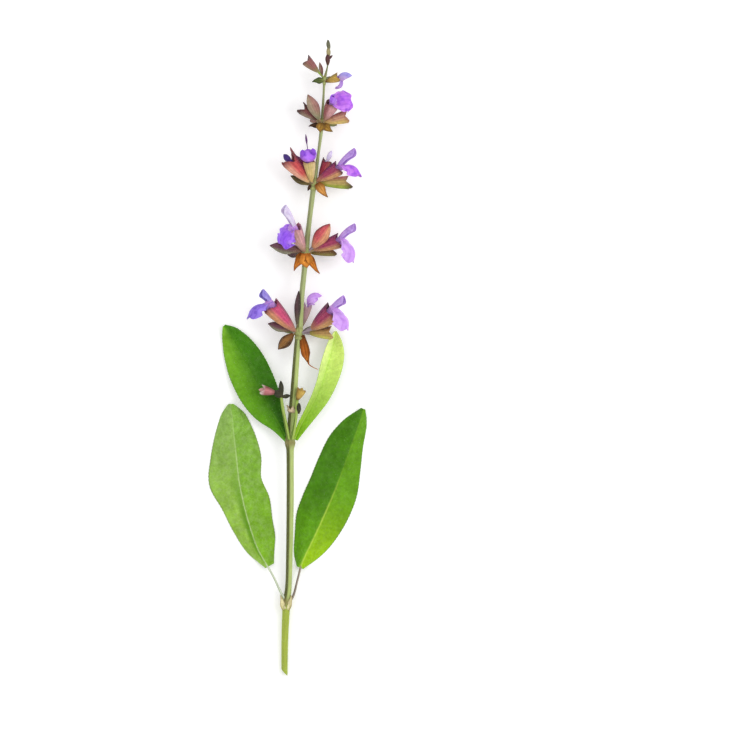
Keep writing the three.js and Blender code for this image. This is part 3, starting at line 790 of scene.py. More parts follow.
@dataclass(frozen=True)
class Cup(Paint):
    """Calyx: a thin ribbed membrane, grown green and flushed by the sun.

    The side towards the stem's tip, the ends of the teeth and the ribs are the dark parts, and the inside
    is darkened as painted shade; the lower side and the foot stay pale where light comes through.
    """

    upper: str
    body: str
    lower: str
    foot: str
    tip: str

    def colour(self, on: Ground) -> Socket:
        """Colour of the calyx.

        Args:
            on: Tree of the material, with what its patterns follow.

        Returns:
            The output that carries the colour.
        """
        skin = on.layered(
            linear(self.lower),
            Layer(self.body, on.across, -0.85, -0.1, smooth=True),
            Layer(self.upper, on.across, 0.25, 0.9, smooth=True),
            Layer(self.foot, on.along, 0.06, 0.4, 1.0, 0.0),
            Layer(self.tip, on.along, 0.86, 1.12, more=0.9),
        )
        ribs = add(on.tree, RANGE, {0: on.relief, 1: 0.5, 2: 1.0, 3: 1.0, 4: 0.8})
        skin = add(on.tree, SHADE, {"Color": skin, "Value": ribs})
        # painted shade on the inner wall of the cup
        skin = on.layered(skin, Layer(self.tip, on.under, 0.0, 1.0, more=0.75))
        return on.shaded(skin, 1.4, 0.2)


@dataclass(frozen=True)
class Petal(Paint):
    """Corolla petal: a thin soft membrane full of sap, velvety where its cells bulge.

    It looks almost lit from inside, paler at the throat, with faint darker veins running out to a
    deeper edge.
    """

    throat: str
    body: str
    edge: str
    vein: str

    fan = 17.0  # the veins fan out from the throat, about 0.7 mm apart across the petal
    blot_mm = 2.0

    def colour(self, on: Ground) -> Socket:
        """Colour of the petal.

        Args:
            on: Tree of the material, with what its patterns follow.

        Returns:
            The output that carries the colour.
        """
        tree = on.tree
        reach = add(tree, MATHS, {0: on.across}, operation="ABSOLUTE")
        wave = add(tree, MATHS, {0: on.across, 1: self.fan}, operation="MULTIPLY")
        stripe = add(tree, MATHS, {0: wave}, operation="SINE")
        blot = add(tree, NOISE, {"Vector": on.place, "Scale": 1 / (self.blot_mm * MM), "Detail": 2.0})
        skin = on.layered(
            linear(self.throat),
            Layer(self.body, on.along, 0.0, 0.4, smooth=True),
            Layer(self.edge, reach, 0.3, 1.0, more=0.7, smooth=True),
            Layer(self.vein, stripe, 0.4, 1.0, more=0.35),
            Layer(self.vein, blot, 0.5, 0.68, more=0.6),
        )
        return on.shaded(skin, 2.5, 0.10)


@dataclass(frozen=True)
class Dry(Paint):
    """Withered bract or scale: dead papery tissue, curled as it dried.

    It looks brown and matt, darker along its nerves and burnt at the root and the tip.
    """

    root: str
    body: str
    tip: str
    edge: str

    def colour(self, on: Ground) -> Socket:
        """Colour of the dry tissue.

        Args:
            on: Tree of the material, with what its patterns follow.

        Returns:
            The output that carries the colour.
        """
        reach = add(on.tree, MATHS, {0: on.across}, operation="ABSOLUTE")
        skin = on.layered(
            linear(self.root),
            Layer(self.body, on.along, 0.05, 0.4),
            Layer(self.tip, on.along, 0.65, 1.0),
            Layer(self.edge, reach, 0.7, 1.0, more=0.85),
            Layer(self.edge, on.relief, 0.3, 1.0, more=0.6),
        )
        return on.shaded(skin, 1.2, 0.22)


WAXY_STALK = Skin(0.5, 0.1, 0.05)
LEATHERY = Skin(0.6, 0.02, 0.05, 0.7, 0.7, 0.14)
CLEAR_CUP = Skin(0.5, 0.12, 0.12)
THIN_CUP = Skin(0.5, 0.12, 0.1)
SOFT_CUP = Skin(0.55, 0.12, 0.1)
MATT_CUP = Skin(0.55, 0.12, 0.08)
THICK_CUP = Skin(0.55, 0.12, 0.05)
DRY_CUP = Skin(0.6, 0.12, 0.05)
OPEN_PETAL = Skin(0.5, 0.15, 0.15, 0.3)
SHUT_PETAL = Skin(0.5, 0.15, 0.1, 0.3)
WITHERED = Skin(0.7, 0.08, 0.08, 1.0, 0.5)
WITHERED_THIN = Skin(0.7, 0.08, 0.1, 1.0, 0.5)
FIRM_BUD = Skin(0.6, 0.1, 0.05, 0.8, 0.4)
THIN_BUD = Skin(0.6, 0.1, 0.08, 0.8, 0.4)


class Finish(Enum):
    """Every finish on the sprig: its surface and its colours. Each is made into a material once."""

    STEM = (Skin(0.5, 0.08, 0.03, 0.3, 0.5),
            Stalk("#5c6030", "#b4c478", "#94a25c", "#8c8450", "#a2b244", "#a0a878", 0.112))
    PETIOLE = (WAXY_STALK, Stalk("#b4c0a0", "#d0d8c0", "#d8e0cc", "#b8b494", "#c4ccb0", "#d0d8c0"))
    DARK_PETIOLE = (WAXY_STALK,
                    Stalk("#6c5c54", "#948878", "#a09484", "#8c7468", "#8c7c6c", "#948878"))
    AXIL_STALK = (WAXY_STALK, Stalk("#6c8434", "#a0b858", "#b4c870", "#7c7c3c", "#98b050", "#a0b858"))
    COLLAR = (Skin(0.6, 0.08, 0.03, 0.8, 0.6), Dry("#949c5c", "#a4ac6c", "#949458", "#7c7444"))
    CLASP = (Skin(0.6, 0.08, 0.05, 0.8, 0.6), Dry("#b4b46c", "#e4dcac", "#c4bc88", "#ac9c68"))
    PEDICEL = (WAXY_STALK, Stalk("#7c6448", "#a88c68", "#b09c78", "#8c7050", "#a08860", "#a08860"))
    PEDICEL_DUSK = (WAXY_STALK,
                    Stalk("#645460", "#94848c", "#a4949c", "#7c6c74", "#8c7c84", "#94848c"))

    BLADE_LOWER_LEFT = (Skin(0.62, 0.08, 0.05, 0.9, 0.7),
                        Blade(("#90bc38", "#84ac4c"), ("#78ac18", "#7cac38"), "#d0e4a4", "#6a7a38",
                              0.3, 0.14, mottle=0.15, crease=0.95))
    BLADE_LOWER_RIGHT = (LEATHERY,
                         Blade(("#68a410", "#447c08"), ("#98c408", "#609810"), "#c0dc54", "#4a6c14",
                               0.16, 0.03, rib_to=0.66, turned=0.6, mottle=0.16))
    BLADE_UPPER_LEFT = (LEATHERY,
                        Blade(("#5c9c10", "#7cb424"), ("#285c04", "#448408"), "#5c9420", "#5a8a18",
                              0.12, 0.03, blend=(-0.95, 0.4), rib_to=0.4))
    BLADE_UPPER_RIGHT = (Skin(0.55, 0.04, 0.08, 0.5, 0.7),
                         Blade(("#88b41c", "#e4f898"), ("#7cb014", "#d0ec74"), "#c4dc68", "#98c040",
                               0.12, 0.0, blend=(-0.6, 0.6), rib_to=0.7, turned=0.85))

    CUP_ROSE = (THIN_CUP, Cup("#985068", "#cc5078", "#d8986c", "#b47c68", "#84284c"))
    CUP_RED = (THIN_CUP, Cup("#8c2834", "#cc5860", "#dc9c74", "#c88c68", "#6c2430"))
    CUP_CORAL = (THIN_CUP, Cup("#8c2c48", "#cc5454", "#e8a890", "#dcb480", "#8c4448"))
    CUP_MAGENTA = (THIN_CUP, Cup("#7c2c60", "#a04060", "#d09c68", "#a87458", "#581c38"))
    CUP_MAROON = (THICK_CUP, Cup("#602c44", "#704854", "#88846c", "#806050", "#482430"))
    CUP_OLIVE = (MATT_CUP, Cup("#5c3420", "#b8945c", "#c4bc58", "#a09048", "#b8906c"))
    CUP_UMBER = (THICK_CUP, Cup("#5c3c1c", "#745434", "#8c8044", "#706030", "#64402c"))
    CUP_BROWN = (DRY_CUP, Cup("#50301c", "#946838", "#54361c", "#7c5028", "#482c1c"))
    CUP_TAN = (SOFT_CUP, Cup("#a45c58", "#c49478", "#d8bc6c", "#c4a05c", "#9c5450"))
    CUP_DUSK = (MATT_CUP, Cup("#946464", "#a87c70", "#a8947c", "#94906c", "#683c3c"))
    CUP_GREEN = (THICK_CUP, Cup("#5c5c2c", "#748038", "#68702c", "#68702c", "#684434"))
    CUP_LIME = (MATT_CUP, Cup("#d08c7c", "#bca464", "#98a838", "#a8a040", "#483030"))
    CUP_SHADE = (THICK_CUP, Cup("#3c2830", "#584044", "#443834", "#645c48", "#2c2024"))
    CUP_WINE = (Skin(0.5, 0.12, 0.08), Cup("#681830", "#943040", "#b06058", "#8c5c48", "#481828"))
    CUP_CREAM = (CLEAR_CUP, Cup("#d4a87c", "#e4cc98", "#d4bc7c", "#c4a464", "#b48868"))
    CUP_GOLD = (SOFT_CUP, Cup("#8c7434", "#bc9c4c", "#c8a858", "#644820", "#a4803c"))
    CUP_SALMON = (CLEAR_CUP, Cup("#a06878", "#d09ca0", "#d0a498", "#b48c74", "#a8687c"))
    CUP_MAUVE = (MATT_CUP, Cup("#8c5458", "#94605c", "#9c7c64", "#98945c", "#482830"))
    CUP_PALE = (CLEAR_CUP, Cup("#a88088", "#c8a0a8", "#ccaca0", "#b49890", "#b890b8"))
    CUP_CHESTNUT = (THICK_CUP, Cup("#542428", "#744240", "#94806c", "#5c3c30", "#4c2c2c"))
    CUP_RUSSET = (MATT_CUP, Cup("#7c3c44", "#985858", "#cc9898", "#9c7058", "#5c2c34"))
    CUP_PLUM = (MATT_CUP, Cup("#7c2868", "#842c54", "#94443c", "#8c5c48", "#8c488c"))
    CUP_NIGHT = (DRY_CUP, Cup("#3c3018", "#4c4024", "#605430", "#7c6c3c", "#2c2414"))
    CUP_BLUSH = (SOFT_CUP, Cup("#845048", "#c47c80", "#a86868", "#84584c", "#dcc8c4"))

    PETAL_BLUE = (OPEN_PETAL, Petal("#a880cc", "#9888d8", "#aca0e4", "#7c6cc8"))
    PETAL_DEEP = (OPEN_PETAL, Petal("#b48cdc", "#8c6cdc", "#a488ec", "#5c38b4"))
    PETAL_BRIGHT = (OPEN_PETAL, Petal("#b47ce4", "#9c5cf4", "#c490f8", "#7434d8"))
    PETAL_VIOLET = (OPEN_PETAL, Petal("#cc88ec", "#b068f0", "#d09cf8", "#8040cc"))
    PETAL_LILAC = (OPEN_PETAL, Petal("#c488dc", "#d09cf2", "#e0b8fa", "#b47cdc"))
    PETAL_DUSKY = (OPEN_PETAL, Petal("#b47ccc", "#bc94e0", "#ccacec", "#9870c8"))
    PETAL_PALE = (OPEN_PETAL, Petal("#d8c4e0", "#dcd0ec", "#e8e0f4", "#c0acd4"))
    PETAL_TUBE = (OPEN_PETAL, Petal("#c8a0b0", "#c490dc", "#d4a8e8", "#a878cc"))
    PETAL_ORCHID = (OPEN_PETAL, Petal("#d080e4", "#c070ec", "#dc98f4", "#8840d8"))
    PETAL_PLUM = (OPEN_PETAL, Petal("#9858d8", "#8c4cd4", "#a468dc", "#6c34b4"))
    PETAL_SKY = (OPEN_PETAL, Petal("#b4a0e0", "#a8a0e8", "#d4a8c4", "#9078cc"))
    PETAL_BLUSH = (SHUT_PETAL, Petal("#b07878", "#c89894", "#e0c8c4", "#a46c70"))
    PETAL_NIGHT = (SHUT_PETAL, Petal("#68407c", "#4c3480", "#3c2868", "#382460"))

    BRACT_RUST = (WITHERED, Dry("#5c300c", "#b0601c", "#d0802c", "#5c3410"))
    BRACT_ORANGE = (WITHERED_THIN, Dry("#8c4c14", "#dc8830", "#a05c24", "#7c4414"))
    BRACT_GOLD = (WITHERED, Dry("#6c4c20", "#a88034", "#8c7034", "#74542a"))
    BRACT_FLAME = (WITHERED_THIN, Dry("#a85c1c", "#e0943c", "#c88030", "#a8641c"))
    BRACT_AMBER = (WITHERED, Dry("#6c3c14", "#d89c50", "#54402c", "#8c5820"))
    BRACT_DARK = (Skin(0.7, 0.08, 0.05, 1.0, 0.5), Dry("#54381e", "#4c3424", "#3c2c24", "#34241c"))
    BRACT_GREEN = (Skin(0.6, 0.08, 0.05, 0.8, 0.5), Dry("#7c8444", "#566434", "#445030", "#3c4828"))
    SCALE = (Skin(0.7, 0.08, 0.08, 0.8, 0.5), Dry("#b09878", "#d4c0a0", "#c0a488", "#8c7458"))
    BUD_DARK = (FIRM_BUD, Dry("#4c4830", "#3c3c2c", "#343428", "#2c2c20"))
    BUD_PLUM = (FIRM_BUD, Dry("#644834", "#5c3a3a", "#4c3034", "#40282c"))
    BUD_TAN = (THIN_BUD, Dry("#8c7c54", "#a89c70", "#8c8460", "#7c7450"))
    BUD_OLIVE = (FIRM_BUD, Dry("#8c8c68", "#6c6c54", "#545444", "#4c4c3c"))
    BUD_GOLD = (THIN_BUD, Dry("#847434", "#b09444", "#b89848", "#846830"))
    ANTHER = (Skin(0.6, 0.1, 0.05), Dry("#6c3c74", "#5c3468", "#6c4474", "#54305c"))
    DOWN = (Skin(0.5, 0.1, 0.2, 0.0), Dry("#c8d0bc", "#ccd4c0", "#d4d8cc", "#c8d0bc"))

    def material(self) -> Material:
        """Returns the finish's material, made the first time that it is asked for."""
        skin, paint = self.value
        name = f"{type(paint).__name__.lower()}_{self.name.lower()}"
        return bpy.data.materials.get(name) or skin.dress(name, paint)


# ------------------------------------------------------------------------------------ stem


@dataclass
class Stem:
    """Square flowering stem, with one corner up, a slanting cut end and a knot at each node."""

    line: Rows = (
        (0, 0.0, 1.3, 1.3),
        (14, 0.2, 1.9, 1.45),
        (28.4, 0.9, 2.7, 1.6),
        (34, 1.6, 3.1, 1.4),
        (46, 2.0, 3.9, 1.4),
        (70, 2.4, 5.4, 1.55),
        (89, 2.4, 6.6, 1.6),
        (92.6, 2.4, 6.8, 2.0),
        (97, 2.6, 7.0, 1.65),
        (114, 4.0, 8.2, 1.5),
        (130, 5.2, 9.2, 1.35),
        (136.4, 6.0, 9.5, 1.45),
        (150, 7.0, 9.9, 1.2),
        (162, 8.2, 10.0, 1.15),
        (168.4, 8.7, 10.0, 1.3),
        (180, 10.0, 10.1, 1.05),
        (196, 12.0, 10.0, 1.1),
        (208, 13.75, 10.0, 0.65),
        (220, 15.2, 9.9, 0.8),
        (232, 15.85, 9.7, 0.46),
        (238, 16.3, 9.5, 0.6),
        (243, 17.4, 9.3, 0.3),
        (248, 18.0, 9.1, 0.3),
    )
    nodes: Sequence[float] = (28.4, 92.6, 136.4, 168.4, 196.0, 220.0, 238.0)
    squareness: float = 1.22
    cut_slant: float = 1.1
    step: float = 0.55
    sides: int = 48
    groove: float = 0.05
    knot_height: float = 0.10
    knot_width: float = 1.7
    lump_height: float = 0.06
    clasp: tuple[float, float, float] = (25.2, 28.0, 1.55)

    def at(self, y: float) -> tuple[Array, Array, float]:
        """Place, direction and half width of the stem.

        Args:
            y: Distance along Y.

        Returns:
            Point on the axis, tangent, and half width across the corners.
        """
        here, ahead = columns_at(self.line, [y, y + 0.5])
        tangent = unit(np.array([ahead[0] - here[0], 0.5, ahead[1] - here[1]]))
        return np.array([here[0], y, here[1]]), tangent, float(here[2])

    def shells(self) -> list[Shell]:
        """Returns the stem's shell."""
        length = self.line[-1][0]
        y = np.linspace(0, length, round(length / self.step))
        x, z, radius = columns_at(self.line, y).T
        points = np.column_stack([x, y, z])
        angles = circle(self.sides)
        p = self.squareness
        square = (np.abs(np.cos(angles)) ** p + np.abs(np.sin(angles)) ** p) ** (-1 / p)
        rounded = 0.5 * square + 0.25 * np.roll(square, 1) + 0.25 * np.roll(square, -1)
        ribs = 1 - self.groove * np.cos(4 * angles + math.pi) ** 2 * np.cos(12 * angles)
        near = sum(bump(y - node, self.knot_width) for node in self.nodes)
        knots = 1 + self.knot_height * near
        lumps = 1 + self.lump_height * near[:, None] * np.sin(6 * angles + y[:, None] * 1.9)
        reach = radius[:, None] * knots[:, None] * lumps * (rounded * ribs)
        tangents = unit(np.gradient(points, axis=0))
        rings = rings_round(points, tangents, reach)
        slant = bump(y, 1.2)[:, None] * (rings[..., 0] - x[:, None]) * self.cut_slant
        rings[..., 1] -= slant
        rings[..., 2] = np.maximum(rings[..., 2], REST_GAP)
        tissue = np.clip(near, 0, 1)[:, None] * 0.9
        skin = loft(rings, Finish.STEM.material(), y / length, np.sin(angles), tissue)
        foot = self.at(self.clasp[0])[0]
        flaps = [
            Bract((side * 0.8, 0.0, 1.0), 90 - side * 13, 3, 6.2, 1.0, 0, Finish.CLASP).shells(foot)[0]
            for side in (-1, 1)
        ]
        return [skin, band(*self.clasp, Finish.CLASP, 0.04), *flaps]

    def build(self) -> Object:
        """Returns the finished stem."""
        return piece("sage_stem", self.shells(), "stem_skin", "stem")


STEM = Stem()


def band(low: float, high: float, reach: float, finish: Finish, lumps: float = 0.0) -> Shell:
    """Ring of tissue round the stem.

    Args:
        low: Its lower end along Y.
        high: Its upper end.
        reach: Its half width.
        finish: Its finish.
        lumps: How uneven it is, as a share of its half width.

    Returns:
        The ring's shell.
    """
    steps, sides = 14, 40
    t = np.linspace(0, 1, steps)
    angles = circle(sides)
    rings = []
    for share in t:
        point, tangent, _ = STEM.at(low + (high - low) * share)
        uneven = 1 + lumps * np.sin(5 * angles + 9 * share) * np.sin(3 * angles + 2)
        width = reach * (0.82 + 0.18 * math.sin(math.pi * share)) * uneven
        rings.append(rings_round(point[None], tangent[None], width[None])[0])
    relief = 0.5 + 0.5 * np.sin(7 * angles + 1.3)
    shape = np.array(rings)
    shape[..., 2] = np.maximum(shape[..., 2], REST_GAP)
    return loft(shape, finish.material(), t, 0.0, relief * 0.6)


# ------------------------------------------------------------------------------------ leaves


@dataclass
class Leaf:
    """Stalked sage leaf with a puffed, veined blade and a finely scalloped margin.

    Each row of `line` is the midrib's x, y, z and the plan width of the blade to its left and right.
    `fold` is the slope of the left and right half, up from the midrib, and `droop` is how far the
    margins bend down again.
    """

    name: str
    finish: Finish
    stalk_finish: Finish
    fold: tuple[float, float]
    droop: float
    petiole: Rows
    line: Rows
    rows: int = 230
    columns: int = 57
    thickness: float = 0.5
    vein_gap: float = 5.2
    vein_slant: float = 0.85
    puff: float = 0.16
    rib_mm: float = 0.42
    net_mm: float = 1.5
    puff_edge: tuple[float, float] = (0.02, 0.5)
    rib_clearance: float = 0.6
    vein_width: float = 0.34
    vein_depth: float = 0.22
    rib_depth: float = 0.30
    vein_curve: float = 0.020
    vein_shift: float = 0.45
    crowding: float = 0.48
    tip_start: float = 0.86
    scallop_mm: float = 1.3
    scallop_depth: float = 0.022
    stalk_radii: Sequence[float] = (0.75, 0.5, 0.42, 0.42, 0.25)

    def veined(self, t: Array, share: Array, reach: Array, distance: Array) -> tuple[Array, Array]:
        """Side veins and midrib of the blade.

        Args:
            t: Share of the length of each row.
            share: Share of the half width of each column, below 0 on the left.
            reach: How far every point is from the midrib.
            distance: How far along the midrib each row is.

        Returns:
            How strong a side vein is at every point, and how strong the midrib is.
        """
        lean = reach * self.vein_slant + self.vein_curve * reach**2
        branch = (distance[:, None] - lean) / self.vein_gap + np.where(share < 0, 0.0, self.vein_shift)
        off = np.abs(branch - np.round(branch)) * self.vein_gap
        lateral = bump(off, self.vein_width) * smoothstep(0.0, 0.12, t)[:, None] * (1 - 0.55 * np.abs(share))
        return lateral, bump(reach, self.rib_mm) * (1 - 0.45 * t[:, None])

    def puffed(self, share: Array, half: Array, distance: Array) -> Array:
        """How far the blade puffs up between its veins.

        Args:
            share: Share of the half width of each column, below 0 on the left.
            half: Half width that every point is a share of.
            distance: How far along the midrib each row is.

        Returns:
            The rise of every point.
        """
        places = np.stack([np.broadcast_to(distance[:, None], half.shape), share * half], axis=-1)
        between = smoothstep(*self.puff_edge, cell_edges(places, self.net_mm))
        clear = 1 - bump(share * half, self.rib_clearance)
        return self.puff * (between * clear * smoothstep(1.0, 0.9, np.abs(share)) - 0.5)

    def surface(self) -> tuple[Array, Array, Array, Array]:
        """Middle surface of the blade and how veined it is.

        Returns:
            Grid of points from base to tip and from left to right, share of the length of each row,
            share of the half width of each column, and how strong the vein at each point is.
        """
        table = keyed(self.line)
        step = np.linspace(0, 1, self.rows)
        t = np.sin(step * self.crowding * math.pi) / math.sin(self.crowding * math.pi)
        share = np.linspace(-1, 1, self.columns)
        x, y, z, left, right = columns_at(table, t).T
        before = columns_at(table, np.clip(t - 0.02, 0, 1))[:, :2]
        after = columns_at(table, np.clip(t + 0.02, 0, 1))[:, :2]
        heading = after - before
        across = unit(np.column_stack([heading[:, 1], -heading[:, 0], np.zeros(self.rows)]))
        tip = np.clip((t - self.tip_start) / (1 - self.tip_start), 0, 1)
        taper = np.sqrt(1 - 0.9 * tip * tip)

        steps = np.linalg.norm(np.diff(np.column_stack([x, y]), axis=0), axis=1)
        distance = np.concatenate([[0.0], np.cumsum(steps)])
        scallop = 1 - self.scallop_depth * np.abs(np.cos(math.pi * distance / self.scallop_mm))
        half = np.where(share < 0, left[:, None], right[:, None]) * (taper * scallop)[:, None]
        reach = np.abs(share) * half

        slope = np.tan(np.radians(np.where(share < 0, self.fold[0], self.fold[1])))
        height = z[:, None] + slope * reach
        height = height - self.droop * share**2 * np.clip(half / 4, 0, 1)

        lateral, midrib = self.veined(t, share, reach, distance)
        height = height + self.puffed(share, half, distance)
        height = height - self.vein_depth * lateral - self.rib_depth * midrib
        height = height + 0.25 * np.sin(distance[:, None] / 5.5 + 2 * share) * share**2

        low = self.thickness / 2 + REST_GAP
        height = low + np.logaddexp(0, (height - low) * 5) / 5
        middle = np.column_stack([x, y, np.zeros(self.rows)])
        grid = middle[:, None] + (share * half)[..., None] * across[:, None]
        grid[..., 2] = height
        veins = np.maximum(midrib, 0.38 * lateral)
        return grid, t, share, veins

    def shells(self) -> list[Shell]:
        """Returns the shells of the blade and its stalk."""
        grid, t, share, veins = self.surface()
        resting = smoothstep(self.thickness / 2 + 0.6, self.thickness / 2 + 0.1, grid[..., 2])[..., None]
        normals = unit(facing(grid) * (1 - resting) + UP * resting)
        edge = 1 - 0.7 * smoothstep(0.86, 1.0, np.abs(share))
        rib = 0.5 * bump(np.abs(share), 0.10) * (1 - t)[:, None]
        depth = self.thickness * edge + rib
        blade = sheet(grid, depth, self.finish.material(), t, share, veins, normals)
        middle = self.columns // 2
        stalk_line = [*(np.array(p, float) for p in self.petiole), grid[2, middle], grid[7, middle]]
        return [blade, tube(stalk_line, self.stalk_radii, self.stalk_finish.material(), 24, 16)]

    def build(self) -> Object:
        """Returns the finished leaf."""
        return piece(f"sage_{self.name}", self.shells(), "leaf_skin", self.name)


LEAVES = (
    Leaf(
        "leaf_lower_left", Finish.BLADE_LOWER_LEFT, Finish.PETIOLE, (2, 2), 4.2,
        ((1.0, 28.2, 2.7), (-1.2, 32.0, 3.4), (-4.0, 38.0, 3.6)),
        (
            (-6.6, 42.6, 3.4, 1.1, 2.8),
            (-10.9, 50.4, 3.2, 4.8, 8.0),
            (-13.9, 59.0, 2.7, 7.2, 9.6),
            (-16.3, 67.8, 2.2, 9.2, 10.7),
            (-18.2, 77.0, 1.9, 12.3, 9.1),
            (-19.2, 86.0, 1.9, 10.9, 10.0),
            (-20.2, 95.0, 2.2, 8.2, 8.5),
            (-21.0, 103.0, 2.6, 5.0, 5.6),
            (-21.5, 107.9, 2.8, 2.9, 2.7),
        ),
    ),
    Leaf(
        "leaf_lower_right", Finish.BLADE_LOWER_RIGHT, Finish.DARK_PETIOLE, (2, 2), 4.2,
        ((1.4, 28.2, 2.7), (3.6, 31.0, 3.2), (5.2, 37.0, 3.4)),
        (
            (6.4, 42.2, 3.3, 1.5, 1.3),
            (8.2, 46.6, 3.0, 4.9, 4.4),
            (11.2, 52.8, 2.6, 7.9, 7.2),
            (14.4, 59.6, 2.2, 10.6, 8.8),
            (17.6, 66.8, 2.0, 11.3, 9.5),
            (20.8, 74.4, 1.9, 11.2, 9.1),
            (24.0, 83.0, 1.9, 10.9, 7.0),
            (27.2, 92.0, 2.2, 9.7, 4.7),
            (30.0, 100.0, 2.6, 6.3, 3.3),
            (31.8, 106.0, 2.8, 3.0, 1.8),
        ),
        rib_mm=0.5,
    ),
    Leaf(
        "leaf_upper_left", Finish.BLADE_UPPER_LEFT, Finish.AXIL_STALK, (6, 10), 2.0,
        ((2.2, 91.6, 6.9), (2.0, 92.4, 7.0), (1.7, 93.0, 7.0)),
        (
            (1.4, 93.4, 7.0, 1.2, 1.0),
            (-1.6, 99.2, 6.6, 3.6, 2.8),
            (-5.2, 105.4, 5.8, 7.1, 5.7),
            (-8.8, 111.8, 4.8, 8.8, 7.0),
            (-12.0, 118.2, 3.8, 9.2, 7.6),
            (-15.2, 124.6, 3.0, 8.6, 7.4),
            (-18.8, 130.8, 2.5, 6.5, 6.3),
            (-22.0, 136.0, 2.4, 3.6, 4.1),
            (-24.2, 139.4, 2.4, 1.6, 1.9),
        ),
    ),
    Leaf(
        "leaf_upper_right", Finish.BLADE_UPPER_RIGHT, Finish.AXIL_STALK, (58, 24), 0.6,
        ((2.7, 91.6, 6.9), (3.2, 92.4, 7.1), (3.7, 93.2, 7.2)),
        (
            (4.2, 93.8, 7.2, 0.8, 1.3),
            (6.8, 99.6, 6.8, 1.4, 2.8),
            (10.0, 105.4, 5.9, 1.7, 4.0),
            (13.0, 111.2, 4.9, 2.0, 5.2),
            (15.4, 117.2, 3.9, 2.3, 5.9),
            (17.2, 123.4, 2.9, 2.7, 6.3),
            (18.8, 129.0, 2.2, 2.6, 5.5),
            (19.8, 133.6, 1.8, 1.9, 3.5),
            (20.4, 137.2, 1.5, 0.9, 1.6),
        ),
    ),
)


# ------------------------------------------------------------------------------------ flowers


@dataclass(frozen=True)
class Hood:
    """Upper lip of a corolla: a hood that is flattened from the sides and open below.

    `leave` and `end` are the angles at which it begins and ends, `deep` is how far its sides hang below
    its ridge, and `narrow` is half its width. Each row of `shape` is a share of its length, its depth
    there and its width.
    """

    length: float
    leave: float
    end: float
    deep: float
    finish: Finish
    narrow: float = 1.3

    shape = (
        (0, 0.6, 0.95), (0.25, 0.75, 0.9), (0.6, 1.0, 1.0), (0.84, 1.0, 0.95), (0.95, 0.76, 0.75),
        (1, 0.4, 0.45),
    )
    wrap = 90.0
    bends = 4
    rows = 34
    columns = 25
    thickness = 0.36

    def shell(self, start: Array, axes: Axes) -> Shell:
        """Shell of the hood.

        Args:
            start: Top of the throat, where it begins.
            axes: Axes of the flower.

        Returns:
            The shell.
        """
        line = PetalLine.bent(start, axes, self, self.bends, self.rows)
        depth, width = columns_at(self.shape, line.t).T
        share = np.linspace(-1, 1, self.columns)
        turn = math.radians(self.wrap) * share
        drop = (1 - np.cos(turn)) / (1 - math.cos(math.radians(self.wrap)))
        sway = 0.12 * np.sin(9 * line.t)[:, None] * share**2
        sideways = ((width * self.narrow)[:, None] * np.sin(turn))[..., None] * axes.across
        lowered = ((depth * self.deep)[:, None] * drop + sway)[..., None] * line.normal[:, None]
        grid = line.points[:, None] + sideways - lowered
        return sheet(grid, self.thickness * (1 - 0.55 * share**4), self.finish.material(), line.t, share)

    def stamen_shells(self, start: Array, axes: Axes, radius: float) -> list[Shell]:
        """Shells of the two stamens and the forked style under the hood.

        Args:
            start: Middle of the throat.
            axes: Axes of the flower.
            radius: Radius of the throat.

        Returns:
            The shells.
        """
        line = PetalLine.bent(start + axes.top * radius * 0.6, axes, self, self.bends, 20)
        filament = self.finish.material()
        anther = Finish.ANTHER.material()
        shells = []
        for side in (-1, 1):
            lean = axes.across * side * 0.45
            tip = line.below(13, 0.9) + lean
            shells.append(tube([start, line.below(6, 0.5) + lean, tip], (0.2, 0.17, 0.15), filament, 10, 8))
            reach = line.ahead[13] * 0.55 + axes.across * side * 0.25
            shells.append(tube([tip - reach, tip, tip + reach], (0.14, 0.32, 0.14), anther, 8, 8))
        end = line.below(17, 0.9)
        shells.append(tube([start, line.below(10, 0.8), end], (0.16, 0.16, 0.14), filament, 18, 8))
        for side in (-1, 1):
            fork = end + line.ahead[-1] * 0.5 + (axes.across * side - line.normal[-1]) * 0.3
            shells.append(tube([end - line.ahead[-1] * 0.2, end, fork], (0.14, 0.12, 0.08), filament, 6, 6))
        return shells


